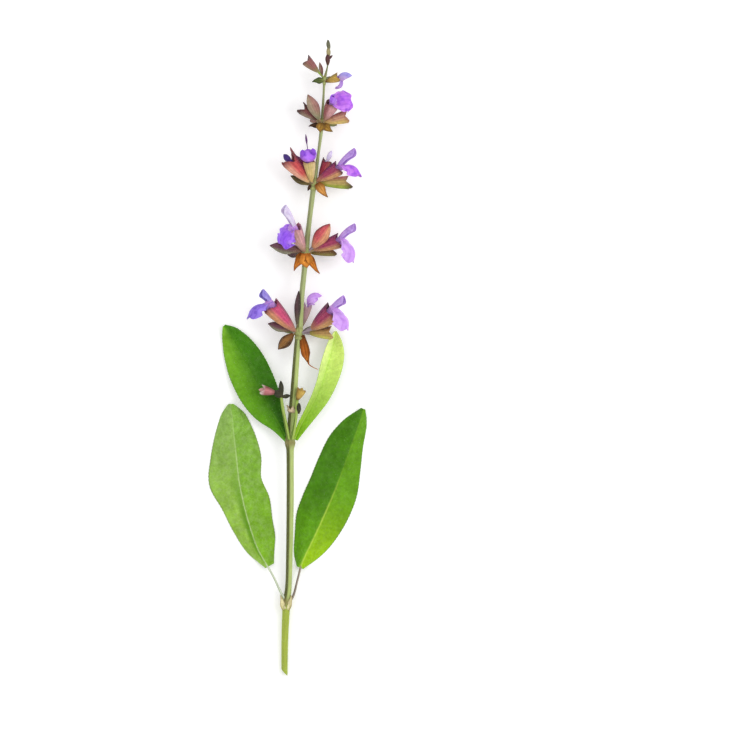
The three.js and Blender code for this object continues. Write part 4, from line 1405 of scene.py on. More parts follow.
@dataclass(frozen=True)
class Lip:
    """Lower lip of a corolla: two side lobes, then a broad notched middle lobe with a ruffled edge.

    `leave` and `end` are the angles at which it begins and ends, and `half` is half its width. `saddle` is
    how far its sides bend down, and `ruffle` how far its margin waves, both as a share of half its width.
    Each row of `shape` is a share of its length, its width there and how its sides bend.
    """

    length: float
    leave: float
    end: float
    half: float
    finish: Finish
    saddle: float = 0.75
    ruffle: float = 0.05

    shape = (
        (0.12, 0.6, 0.3), (0.25, 0.84, -0.4), (0.38, 0.95, -0.8), (0.52, 0.88, -0.9), (0.66, 0.9, -0.95),
        (0.82, 1.0, -1.0), (0.94, 0.94, -1.0), (1, 0.8, -0.95),
    )
    bends = 7
    knee = (0.1, 0.7)
    rows = 54
    columns = 33
    thickness = 0.38

    def shell(self, start: Array, axes: Axes, radius: float) -> Shell:
        """Shell of the lip.

        Args:
            start: Bottom of the throat, where it begins.
            axes: Axes of the flower.
            radius: Radius of the throat.

        Returns:
            The shell.
        """
        line = PetalLine.bent(start, axes, self, self.bends, self.rows, self.knee)
        width, bend = columns_at(((0, radius / self.half, 0.9), *self.shape), line.t).T
        share = np.linspace(-1, 1, self.columns)
        half = (width * self.half)[:, None]
        t = line.t[:, None]
        saddle = np.where(bend > 0, bend, bend * self.saddle)[:, None]
        wave = np.sin(t * 17 + 2.2 * np.sign(share)) + 0.6 * np.sin(t * 10 + share * 5)
        ruffle = self.ruffle * self.half * t * share**2 * wave
        lobed = 0.42 * share**4 + 0.28 * bump(share, 0.45)
        rounding = lobed * smoothstep(0.6, 1.0, t) * self.half
        grid = (
            line.points[:, None]
            + (half * share)[..., None] * axes.across
            + (saddle * half * share**2 + ruffle)[..., None] * line.normal[:, None]
            - rounding[..., None] * line.ahead[:, None]
        )
        thickness = self.thickness * (1 - 0.6 * np.abs(share) ** 3) * (1 - 0.3 * t)
        return sheet(grid, thickness, self.finish.material(), line.t, share)


@dataclass(frozen=True)
class Corolla:
    """Open corolla: where it faces, how far it is rolled, and its two lips."""

    turn: float
    lift: float
    roll: float
    hood: Hood
    lip: Lip
    tube_finish: Finish = Finish.PETAL_TUBE

    throat_reach = 1.4

    def shells(self, calyx: "Calyx") -> list[Shell]:
        """Shells of the corolla's tube and lips, its stamens and its style.

        Args:
            calyx: The calyx that holds it.

        Returns:
            The shells.
        """
        axes = Axes.of(self.turn, self.lift, self.roll)
        radius = calyx.tube_radius()
        throat = calyx.place(1.06) + axes.axis * self.throat_reach
        path = [calyx.place(calyx.tube_from), calyx.place(0.8), calyx.place(1.02), throat]
        radii = (radius * 0.8, radius * 0.9, radius, radius * 1.1)
        start = throat - axes.axis * 1.2
        return [
            tube(path, radii, self.tube_finish.material(), 18, 24),
            self.hood.shell(start + axes.top * radius * 0.95, axes),
            self.lip.shell(start - axes.top * radius * 0.3, axes, radius),
            *self.hood.stamen_shells(start, axes, radius),
        ]


@dataclass(frozen=True)
class ClosedBud:
    """Closed corolla that stands in the mouth of a calyx, with its style and lobes where they show."""

    length: float
    width: float
    finish: Finish
    style: float = 0.0
    lobes: float = 0.0

    style_radii = (0.17, 0.17, 0.2, 0.42, 0.4, 0.12)

    def shells(self, calyx: "Calyx") -> list[Shell]:
        """Shells of the closed corolla, and of its style and lobes.

        Args:
            calyx: The calyx that holds it.

        Returns:
            The shells.
        """
        radius = min(calyx.tube_radius(), self.width * 0.42)
        path = [calyx.place(calyx.tube_from), calyx.place(0.8), calyx.place(1.04)]
        held = Bud(tuple(calyx.place(1.0)), calyx.turn, calyx.lift, self.length, self.width, self.finish)
        shells = [tube(path, (radius * 0.8, radius, radius), self.finish.material(), 12, 20), *held.shells()]
        axis = direction(calyx.turn, calyx.lift)
        top = calyx.place(1.0) + axis * self.length * 0.85
        if self.style:
            path = [top, top + axis * self.style * 0.5, top + axis * self.style]
            shells.append(tube(path, self.style_radii, Finish.ANTHER.material(), 24, 10))
        if self.lobes:
            for side in (-1, 1):
                out = top + direction(calyx.turn + 90 * side, 0) * self.width * 0.3 - axis * self.lobes
                base = tuple(out + UP * self.width * 0.3)
                lobe = Bud(base, calyx.turn, calyx.lift, self.lobes * 1.3, self.lobes, Finish.PETAL_PLUM)
                shells += lobe.shells()
        return shells


@dataclass(frozen=True)
class PetalLine:
    """Line that a petal follows: share of its length, points, its direction, and the way its top faces."""

    t: Array
    points: Array
    ahead: Array
    normal: Array

    @classmethod
    def bent(
        cls,
        start: Array,
        axes: Axes,
        petal: Hood | Lip,
        bends: int,
        steps: int,
        knee: tuple[float, float] = (0.0, 1.0),
    ) -> "PetalLine":
        """Line that bends from one angle to another.

        Args:
            start: Where it begins.
            axes: Axes of the flower.
            petal: Its length and the angles at which it leaves and ends.
            bends: Straight stretches that the bend is made of before it is smoothed.
            steps: Points of the smooth line, less one.
            knee: Shares of the length between which it bends.

        Returns:
            The line.
        """

        def heading(shares: Array) -> tuple[Array, Array]:
            """Direction of the line and of its top.

            Args:
                shares: Shares of the length.

            Returns:
                The two directions at each.
            """
            bent = np.clip((shares - knee[0]) / (knee[1] - knee[0]), 0, 1)
            angle = np.radians(petal.leave + (petal.end - petal.leave) * bent)[:, None]
            ahead = axes.axis * np.cos(angle) + axes.top * np.sin(angle)
            return ahead, axes.top * np.cos(angle) - axes.axis * np.sin(angle)

        coarse = np.arange(bends + 1) / bends
        moves = heading(coarse)[0][:-1] * petal.length / bends
        t = np.linspace(0, 1, steps + 1)
        return cls(t, paced(start, moves, t), *heading(t))

    def below(self, index: int, hang: float) -> Array:
        """Returns the point that hangs below one of the line's points."""
        return self.points[index] - self.normal[index] * hang


@dataclass
class Calyx:
    """Ribbed two-lipped calyx on its pedicel, with the flower or bud that it may hold.

    `base` is the offset of its foot from the stem axis at its whorl. `upper` and `lower` are how far the
    teeth of its two lips stand out, as a share of its length; a closed one has none.
    """

    base: tuple[float, float, float]
    turn: float
    lift: float
    length: float
    mouth: float
    finish: Finish
    name: str = ""
    flower: Corolla | ClosedBud | None = None
    upper: float = 0.2
    lower: float = 0.16
    closed: bool = False
    stalk: Finish = Finish.PEDICEL
    root: Array = field(default_factory=lambda: np.zeros(3))

    profile = ((0, 0.2), (0.12, 0.38), (0.36, 0.64), (0.7, 0.89), (1, 1.0))
    shut_profile = ((0, 0.3), (0.1, 0.52), (0.36, 0.92), (0.56, 1.0), (0.8, 0.68), (1, 0.1))
    hollow = ((0, 0.05), (0.15, 0.45), (0.5, 0.82), (1, 1.0))
    wall = 0.3
    sides = 90
    hollow_from = 0.38
    tube_from = 0.5
    tube_ratio = 0.3
    ribs = 15
    rib_height = 0.035
    drawn_from = 0.45
    outer_rings = 22
    inner_rings = 14

    def seat(self, node: Array) -> None:
        """Sets the calyx on a whorl.

        Args:
            node: Point of the stem axis at the whorl.
        """
        self.root = node

    def place(self, share: float) -> Array:
        """Point on the calyx's axis at a share of its length."""
        return self.root + np.array(self.base) + direction(self.turn, self.lift) * share * self.length

    def rim(self, angles: Array) -> Array:
        """How far the mouth stands out.

        Args:
            angles: Angles from its top round.

        Returns:
            The reach at each, as a share of the length.
        """
        if self.closed:
            return 0.02 * np.cos(5 * angles)
        wrapped = np.abs((angles + math.pi) % (2 * math.pi) - math.pi)
        lip = np.clip(1 - wrapped / 1.25, 0, 1) ** 1.25
        teeth = np.clip(1 - np.abs(wrapped - 2.3) / 0.95, 0, 1) ** 1.15
        cleft = 0.04 * bump(wrapped - 1.4, 0.3)
        return self.upper * lip + self.lower * teeth - cleft - 0.02

    def rings(self, shares: Array, radii: Array) -> Array:
        """Rings of the calyx, drawn out into the teeth near the mouth.

        Args:
            shares: Where they stand, as shares of its length.
            radii: Their radii.

        Returns:
            Rings, points of each ring, coordinates.
        """
        axes = Axes.of(self.turn, self.lift)
        angles = circle(self.sides)
        rim = self.rim(angles)
        drawn = smoothstep(self.drawn_from, 1.0, shares)[:, None]
        flare = 1 + 0.6 * np.maximum(rim, 0) * drawn
        rise = self.rib_height * smoothstep(0.02, 0.2, shares)[:, None]
        ribs = 1 + rise * np.cos(self.ribs * angles)
        middles = np.array([self.place(share) for share in shares])
        tangents = np.repeat(axes.axis[None], len(shares), axis=0)
        rings = rings_round(middles, tangents, radii[:, None] * ribs * flare, axes.top)
        return rings + axes.axis * (rim * drawn * self.length)[..., None]

    def shells(self) -> list[Shell]:
        """Returns the shells of the calyx and its pedicel."""
        half = self.mouth / 2
        shares = np.concatenate([[0.0, 0.03], np.linspace(0.08, 1, self.outer_rings)])
        radii = half * columns_at(self.shut_profile if self.closed else self.profile, shares)[:, 0]
        inside, end = np.zeros(len(shares)), 1.03
        if not self.closed:
            inner = np.linspace(1, self.hollow_from, self.inner_rings)
            depth = (inner - self.hollow_from) / (1 - self.hollow_from)
            wall = half * columns_at(self.profile, inner)[:, 0] - self.wall
            narrow = np.maximum(wall * columns_at(self.hollow, depth)[:, 0], 0.06)
            shares, radii = np.concatenate([shares, inner]), np.concatenate([radii, narrow])
            inside, end = np.concatenate([inside, np.ones(len(inner))]), self.hollow_from - 0.02
        angles = circle(self.sides)
        drawn = smoothstep(self.drawn_from, 1.0, shares)[:, None]
        along = shares[:, None] + self.rim(angles) * drawn
        relief = 0.5 + 0.5 * np.cos(self.ribs * angles)
        ends = (self.place(-0.05), self.place(end))
        rings, material = self.rings(shares, radii), self.finish.material()
        shell = loft(rings, material, shares, np.cos(angles), relief, inside[:, None], ends)
        shell.along[: along.size] = along.reshape(-1)
        foot, near = self.place(0.06), self.root + (self.place(0.0) - self.root) * 0.5
        thick = 0.2 + 0.05 * self.mouth
        radii = (thick, thick, half * 0.24)
        return [shell, tube([self.root, near, foot], radii, self.stalk.material(), 8, 12)]

    def tube_radius(self) -> float:
        """Returns the radius of the corolla's tube, less where the calyx is too narrow for it."""
        return min(self.tube_ratio * self.mouth, 0.43 * self.mouth - 0.98)


@dataclass
class Bud:
    """Closed bud: a pointed drop of petals or scales that overlap in a twist."""

    base: tuple[float, float, float]
    turn: float
    lift: float
    length: float
    width: float
    finish: Finish

    profile = ((0, 0.45), (0.3, 0.9), (0.6, 1.0), (0.85, 0.62), (1, 0.12))
    sides = 30
    twist = 1.6

    def shells(self) -> list[Shell]:
        """Returns the bud's shell."""
        axes = Axes.of(self.turn, self.lift)
        shares = np.linspace(0, 0.985, 26)
        angles = circle(self.sides)
        fold = 1 - 0.10 * np.abs(np.sin(2.5 * (angles + self.twist * shares[:, None])))
        radii = (columns_at(self.profile, shares)[:, 0] * self.width / 2)[:, None] * fold
        base = np.array(self.base, float)
        middles = base + axes.axis * (shares * self.length)[:, None]
        rings = rings_round(middles, np.repeat(axes.axis[None], len(shares), axis=0), radii, axes.top)
        ends = (base - axes.axis * 0.2, base + axes.axis * self.length)
        across = np.cos(angles) * 0.6
        return [loft(rings, self.finish.material(), shares, across, (1 - fold) * 8, 0.0, ends)]


@dataclass
class Bract:
    """Withered bract: a pointed blade, widest at `belly` of its length, with rolled margins."""

    base: tuple[float, float, float]
    turn: float
    lift: float
    length: float
    width: float
    curl: float
    finish: Finish
    thread: float = 0.0
    belly: float = 0.35

    bends = 4
    rows = 30
    columns = 15
    thickness = 0.3
    thread_radii = (0.3, 0.24, 0.18, 0.12)

    def shells(self, node: Array) -> list[Shell]:
        """Shells of the bract, and of its withered thread if it has one.

        Args:
            node: Point of the stem axis at its whorl.

        Returns:
            The shells.
        """
        flat = direction(self.turn + 90, 0)
        lifts = [self.lift - self.curl * k / self.bends for k in range(self.bends)]
        moves = np.array([direction(self.turn, lift) for lift in lifts]) * self.length / self.bends
        t = np.linspace(0, 1, self.rows)
        line = paced(node + np.array(self.base), moves, t)
        outline = ((0, 0.6), (self.belly, 1.0), (0.5 + self.belly / 2, 0.55), (1, 0.05))
        half = np.maximum(self.width * columns_at(outline, t), 0.12)
        share = np.linspace(-1, 1, self.columns)
        nerves = 0.5 + 0.5 * np.cos(share * math.pi * 3)
        rise = half * (0.55 * share**2) + 0.10 * np.sin(t * 14)[:, None] * share - 0.05 * nerves
        grid = line[:, None] + (half * share)[..., None] * flat + rise[..., None] * UP
        grid = grid + (0.25 * np.sin(t * 7)[:, None] * (t[:, None] ** 2))[..., None] * flat
        thickness = self.thickness * (1 - 0.5 * share**2)
        shells = [sheet(grid, thickness, self.finish.material(), t, share, nerves)]
        if self.thread:
            tip = line[-1]
            drop = direction(self.turn + 46, -4) * self.thread
            path = [line[-5], tip, tip + drop * 0.5 - flat * 0.35, tip + drop]
            shells.append(tube(path, self.thread_radii, self.finish.material(), 16, 8))
        return shells


@dataclass
class Whorl:
    """Ring of flowers round the stem: calyxes on a collar, their corollas or buds, and dry bracts."""

    name: str
    at: float
    calyxes: Sequence[Calyx]
    bracts: Sequence[Bract]
    ring: Finish = Finish.COLLAR
    below: float = 1.1
    above: float = 2.2
    clearance: float = 0.16
    bract_ring: float = 1.4
    collar_wall: float = 0.18
    ring_wall: float = 0.12

    def build(self) -> list[Object]:
        """Returns the finished pieces of the whorl."""
        node, _, radius = STEM.at(self.at)
        low, high = self.at - self.below, self.at + self.above
        cups = [band(low, high, radius + self.collar_wall, Finish.COLLAR, 0.16)]
        made = []
        for calyx in self.calyxes:
            calyx.seat(node)
            cups += calyx.shells()
            if calyx.flower:
                label = f"corolla_{self.name}_{calyx.name}"
                made.append(piece(f"sage_{label}", calyx.flower.shells(calyx), petal_slot(label), label))
        made.append(piece(f"sage_calyxes_{self.name}", cups, "calyx_skin", f"calyxes_{self.name}"))
        top = low - self.clearance
        withered = [band(top - self.bract_ring, top, radius + self.ring_wall, self.ring, 0.12)]
        for bract in self.bracts:
            withered += bract.shells(node)
        made.append(piece(f"sage_bracts_{self.name}", withered, "dry_bract", f"bracts_{self.name}"))
        return made


VIOLET_COROLLAS = ("1_left", "1_back", "2_left", "3_left", "3_front", "4_right")


def petal_slot(label: str) -> str:
    """Material slot of a corolla, from its node's name."""
    return "petal_violet" if label.removeprefix("corolla_") in VIOLET_COROLLAS else "petal_lilac"


WHORLS = (
    Whorl(
        "1", 136.4,
        (
            Calyx((-1.8, 1.0, 1.4), 134, 12, 13.4, 7.2, Finish.CUP_ROSE, "left",
                  Corolla(142, 28, 0, Hood(6.2, 21, 6, 2.8, Finish.PETAL_BLUE),
                          Lip(13.2, -18, -98, 4.2, Finish.PETAL_DEEP)), upper=0.1, lower=0.08),
            Calyx((-3.6, 1.2, -0.4), 164, 0, 9.0, 3.8, Finish.CUP_MAROON, closed=True),
            Calyx((-2.4, -0.4, -0.4), 226, -6, 8.4, 4.4, Finish.CUP_BROWN, closed=True),
            Calyx((-0.8, 3.6, 0.9), 87, 1, 13.0, 2.7, Finish.CUP_SHADE, closed=True),
            Calyx((1.5, 3.0, -2.8), 75, -2, 7.8, 3.2, Finish.CUP_PALE, "back",
                  Corolla(72, 2, 12, Hood(9.6, 20, -142, 4.8, Finish.PETAL_LILAC, 2.1),
                          Lip(6.4, 16, -84, 3.4, Finish.PETAL_LILAC))),
            Calyx((5.0, 1.6, 1.6), 38, 12, 10.5, 8.0, Finish.CUP_MAGENTA, "right",
                  Corolla(40, 28, 0, Hood(7.8, 9, -11, 2.8, Finish.PETAL_DUSKY),
                          Lip(12.2, -36, -132, 5.0, Finish.PETAL_LILAC)),
                  upper=0.15, lower=0.1, stalk=Finish.PEDICEL_DUSK),
            Calyx((4.0, 0.0, -1.2), 0, -6, 8.4, 5.2, Finish.CUP_OLIVE, upper=0.1, stalk=Finish.PEDICEL_DUSK),
            Calyx((-1.2, 1.0, -2.4), 168, -60, 6.7, 3.4, Finish.CUP_GREEN),
            Calyx((1.4, 0.4, -2.4), 12, -60, 6.7, 3.4, Finish.CUP_GREEN),
        ),
        (Bract((1.1, -0.8, 0.6), 283, -10, 12.4, 1.8, 18, Finish.BRACT_RUST, thread=4.4, belly=0.6),),
    ),
    Whorl(
        "2", 168.4,
        (
            Calyx((-0.6, 0.8, 2.0), 115, 20, 9.8, 6.2, Finish.CUP_SALMON, "left",
                  Corolla(150, 44, -28, Hood(11.2, 32, 14, 2.8, Finish.PETAL_PALE),
                          Lip(10.2, -50, -132, 5.8, Finish.PETAL_BRIGHT, 0.4, 0.16)), upper=0.16, lower=0.1),
            Calyx((-1.8, 0.9, 0.9), 171, 2, 12.4, 4.8, Finish.CUP_MAROON, closed=True),
            Calyx((-2.6, -0.5, 0.9), 184, -4, 4.6, 2.6, Finish.CUP_SHADE, closed=True),
            Calyx((3.0, 2.2, 1.4), 54, 12, 11.4, 5.7, Finish.CUP_RED, closed=True, stalk=Finish.PEDICEL_DUSK),
            Calyx((3.0, 1.2, 0.2), 19, 6, 10.6, 5.8, Finish.CUP_MAGENTA, "right",
                  Corolla(24, 26, 0, Hood(9.0, 27, -4, 2.5, Finish.PETAL_DUSKY),
                          Lip(13.2, -32, -126, 4.6, Finish.PETAL_LILAC, 0.7)), upper=0.12, lower=0.1),
            Calyx((2.0, 0.0, -0.8), 6, -4, 9.4, 4.4, Finish.CUP_UMBER, upper=0.1, lower=0.12),
            Calyx((-1.2, 0.8, -2.4), 170, -60, 7.2, 3.4, Finish.CUP_GREEN),
            Calyx((1.4, 0.4, -2.4), 10, -60, 7.2, 3.4, Finish.CUP_GREEN),
        ),
        (
            Bract((-1.0, -0.4, 0.8), 240, -4, 7.8, 2.0, 16, Finish.BRACT_ORANGE, belly=0.25),
            Bract((0.5, -0.8, 0.9), 303, -4, 9.2, 1.7, 16, Finish.BRACT_ORANGE, belly=0.25),
            Bract((0.1, -0.2, 1.5), 272, -2, 5.8, 2.8, 8, Finish.BRACT_FLAME, belly=0.55),
        ),
        Finish.BRACT_ORANGE,
    ),
    Whorl(
        "3", 196.0,
        (
            Calyx((-2.0, 0.8, 1.4), 133, 10, 10.8, 6.4, Finish.CUP_CORAL, "left",
                  ClosedBud(4.2, 2.6, Finish.PETAL_NIGHT), upper=0.42, lower=0.22),
            Calyx((-1.6, 1.0, 0.8), 118, 8, 11.4, 4.4, Finish.CUP_PLUM, closed=True),
            Calyx((-0.9, 0.8, 2.4), 97, 16, 8.2, 4.8, Finish.CUP_CREAM, "front",
                  ClosedBud(5.2, 7.0, Finish.PETAL_VIOLET, 6.8, 2.4), upper=0.05, lower=0.05),
            Calyx((-2.0, -0.2, -0.2), 155, -2, 8.0, 3.0, Finish.CUP_NIGHT, closed=True),
            Calyx((2.0, 1.2, 0.4), 67, 4, 8.4, 4.0, Finish.CUP_WINE, "middle",
                  ClosedBud(4.8, 2.0, Finish.PETAL_PALE), upper=0.14, lower=0.08),
            Calyx((1.2, 1.2, 0.8), 30, 6, 9.8, 5.8, Finish.CUP_MAGENTA, "right",
                  Corolla(42, 26, 0, Hood(10.2, 11, -14, 2.5, Finish.PETAL_DUSKY),
                          Lip(12.2, -14, -94, 3.8, Finish.PETAL_ORCHID, 0.8)), upper=0.1, lower=0.1),
            Calyx((1.6, 0.4, -0.8), 1, -4, 11.8, 5.2, Finish.CUP_LIME, upper=0.06, lower=0.2),
            Calyx((-1.2, 0.8, -2.4), 168, -61, 7.1, 3.2, Finish.CUP_GREEN),
            Calyx((1.2, 0.4, -2.4), 10, -61, 7.1, 3.2, Finish.CUP_GREEN),
        ),
        (
            Bract((1.2, 0.2, 1.0), 307, -6, 7.2, 1.8, 14, Finish.BRACT_AMBER),
            Bract((-1.0, -0.7, 0.4), 232, -8, 2.6, 0.9, 10, Finish.BRACT_DARK),
        ),
    ),
    Whorl(
        "4", 220.0,
        (
            Calyx((-1.2, 2.0, 1.8), 115, 12, 10.4, 4.5, Finish.CUP_DUSK, closed=True),
            Calyx((-2.0, 1.6, 0.4), 144, 4, 6.8, 4.4, Finish.CUP_CHESTNUT, upper=0.28, lower=0.3),
            Calyx((1.2, 1.4, 1.8), 64, 22, 7.4, 5.4, Finish.CUP_RUSSET, "right",
                  Corolla(40, 46, 84, Hood(5.4, 40, 10, 2.4, Finish.PETAL_VIOLET),
                          Lip(9.2, -18, -96, 5.2, Finish.PETAL_ORCHID, 0.4, 0.16)), upper=0.12, lower=0.08),
            Calyx((0.8, 0.6, 0.6), 14, 3, 9.4, 5.2, Finish.CUP_TAN, upper=0.14, lower=0.08),
            Calyx((-0.8, 0.8, -2.2), 150, -64, 6.8, 3.0, Finish.CUP_MAUVE),
            Calyx((1.2, 0.4, -2.2), 10, -64, 7.2, 3.0, Finish.CUP_GREEN),
        ),
        (
            Bract((-1.0, -0.5, 0.6), 184, -4, 4.4, 1.1, 10, Finish.BRACT_DARK),
            Bract((0.6, -0.4, 0.8), 322, -6, 4.6, 1.6, 10, Finish.BRACT_GOLD),
            Bract((-0.3, 0.4, 1.3), 262, -4, 3.8, 1.8, 8, Finish.BRACT_GOLD, belly=0.5),
        ),
        Finish.BRACT_GOLD,
    ),
    Whorl(
        "5", 238.0,
        (
            Calyx((-2.4, 2.6, 0.8), 137, 6, 6.8, 4.2, Finish.CUP_MAUVE, upper=0.16, lower=0.06,
                  stalk=Finish.AXIL_STALK),
            Calyx((-1.0, 1.4, 0.6), 101, 6, 5.2, 1.6, Finish.CUP_CHESTNUT, closed=True),
            Calyx((0.4, -1.2, 0.6), 20, 4, 5.2, 3.6, Finish.CUP_GOLD, "right",
                  Corolla(6, 24, 20, Hood(6.4, 30, -72, 3.4, Finish.PETAL_SKY, 1.3),
                          Lip(7.2, -60, -172, 1.6, Finish.PETAL_DUSKY)), upper=0.1, lower=0.1),
            Calyx((0.0, 0.0, -1.4), 8, -68, 4.4, 2.2, Finish.CUP_GREEN),
        ),
        (Bract((-0.6, -0.5, 0.5), 187, -4, 4.6, 1.3, 10, Finish.BRACT_GREEN),),
        above=0.9,
        below=0.8,
    ),
)


# ------------------------------------------------------------------------------------ buds and scales


@dataclass
class Shoot:
    """Small shoot in a leaf's axil: a stalk, and the buds that it carries."""

    name: str
    stalk: Rows
    finish: Finish
    buds: Sequence[Bud]
    cups: Sequence[Calyx] = ()
    radii: Sequence[float] = (0.7, 0.7, 0.6, 0.6)

    def build(self) -> Object:
        """Returns the finished shoot."""
        line = [np.array(p, float) for p in self.stalk]
        shells = [tube(line, self.radii, self.finish.material(), 40, 16)]
        for bud in self.buds:
            shells += bud.shells()
        shells += [cup.shells()[0] for cup in self.cups]
        return piece(f"sage_{self.name}", shells, "axil_bud", self.name)


SHOOTS = (
    Shoot(
        "shoot_left",
        ((1.9, 93.8, 8.4), (0.8, 99.6, 9.6), (-0.4, 106.0, 9.4), (-1.2, 111.6, 9.6)),
        Finish.AXIL_STALK,
        (
            Bud((-4.6, 112.8, 9.7), 170, 4, 5.6, 2.4, Finish.PETAL_BLUSH),
            Bud((-1.0, 110.6, 9.8), 92, 4, 6.8, 2.2, Finish.BUD_DARK),
            Bud((-0.8, 110.8, 9.7), 10, 2, 3.4, 1.8, Finish.BUD_DARK),
            Bud((-0.6, 111.0, 9.5), 150, 2, 4.2, 3.0, Finish.BUD_DARK),
        ),
        (Calyx((-3.0, 112.4, 9.6), 168, 4, 5.4, 3.8, Finish.CUP_BLUSH, upper=0.2, lower=0.24),),
    ),
    Shoot(
        "shoot_right",
        ((3.3, 94.0, 8.9), (4.2, 98.6, 10.5), (5.0, 104.6, 10.4), (5.3, 109.6, 10.2)),
        Finish.AXIL_STALK,
        (
            Bud((5.4, 110.0, 10.3), 66, 4, 5.0, 2.4, Finish.BUD_GOLD),
            Bud((5.9, 104.2, 10.2), 88, 14, 4.4, 1.9, Finish.BUD_DARK),
        ),
        (Calyx((5.2, 109.4, 10.2), 66, 4, 4.6, 3.6, Finish.CUP_GOLD, upper=0.12, lower=0.1),),
    ),
)


@dataclass
class TopBuds:
    """Buds that end the stem, stacked along it: distance along Y, turn, length, width and finish."""

    buds: Sequence[tuple[float, float, float, float, Finish]] = (
        (243.6, 90, 4.6, 2.0, Finish.BUD_PLUM),
        (245.8, 46, 2.4, 1.0, Finish.BUD_PLUM),
        (246.6, 92, 4.2, 1.8, Finish.BUD_TAN),
        (249.4, 96, 4.4, 1.7, Finish.BUD_OLIVE),
    )

    def build(self) -> Object:
        """Returns the finished buds."""
        shells = []
        for at, turn, length, width, finish in self.buds:
            point, _, _ = STEM.at(min(at, STEM.line[-1][0]))
            shells += Bud((point[0], at, point[2]), turn, 2, length, width, finish).shells()
        return piece("sage_top_buds", shells, "top_bud", "top_buds")


@dataclass
class DryScales:
    """Ring of dry papery scales round the stem above the upper leaf pair."""

    at: float = 104.6
    length: float = 1.6
    spread: float = 0.75
    half: float = 0.75
    thickness: float = 0.18
    count: int = 11
    seed: int = 7

    def build(self) -> Object:
        """Returns the finished scales."""
        point, tangent, radius = STEM.at(self.at)
        random = np.random.default_rng(self.seed)
        finish = Finish.SCALE.material()
        shells = [band(self.at, self.at + self.length, radius + self.spread * 0.6, Finish.SCALE, 0.1)]
        side = unit(np.cross(tangent, UP))
        top = np.cross(side, tangent)
        for k in range(self.count):
            angle = 2 * math.pi * k / self.count + random.uniform(-0.15, 0.15)
            out = side * math.sin(angle) + top * math.cos(angle)
            flat = np.cross(tangent, out)
            t = np.linspace(0, 1, 9)
            length = self.length * random.uniform(1.0, 1.7)
            line = point + out * (radius + 0.1) + tangent * 0.2
            line = line + t[:, None] * tangent * length + (t**2)[:, None] * out * self.spread * 1.2
            half = (self.half * np.sin(math.pi * (0.25 + 0.72 * t)))[:, None]
            share = np.linspace(-1, 1, 7)
            grid = line[:, None] + (half * share)[..., None] * flat - (0.3 * half * share**2)[..., None] * out
            shells.append(sheet(grid, self.thickness, finish, t, share))
        return piece("sage_dry_scales", shells, "dry_bract", "dry_scales")


# ------------------------------------------------------------------------------------ down


@dataclass(frozen=True)
class Down:
    """Coat of fine hairs: how many on a square millimetre, their size, how far they lean, and the seed."""

    per_mm2: float
    length: float
    radius: float
    lean: float = 0.5
    seed: int = 1


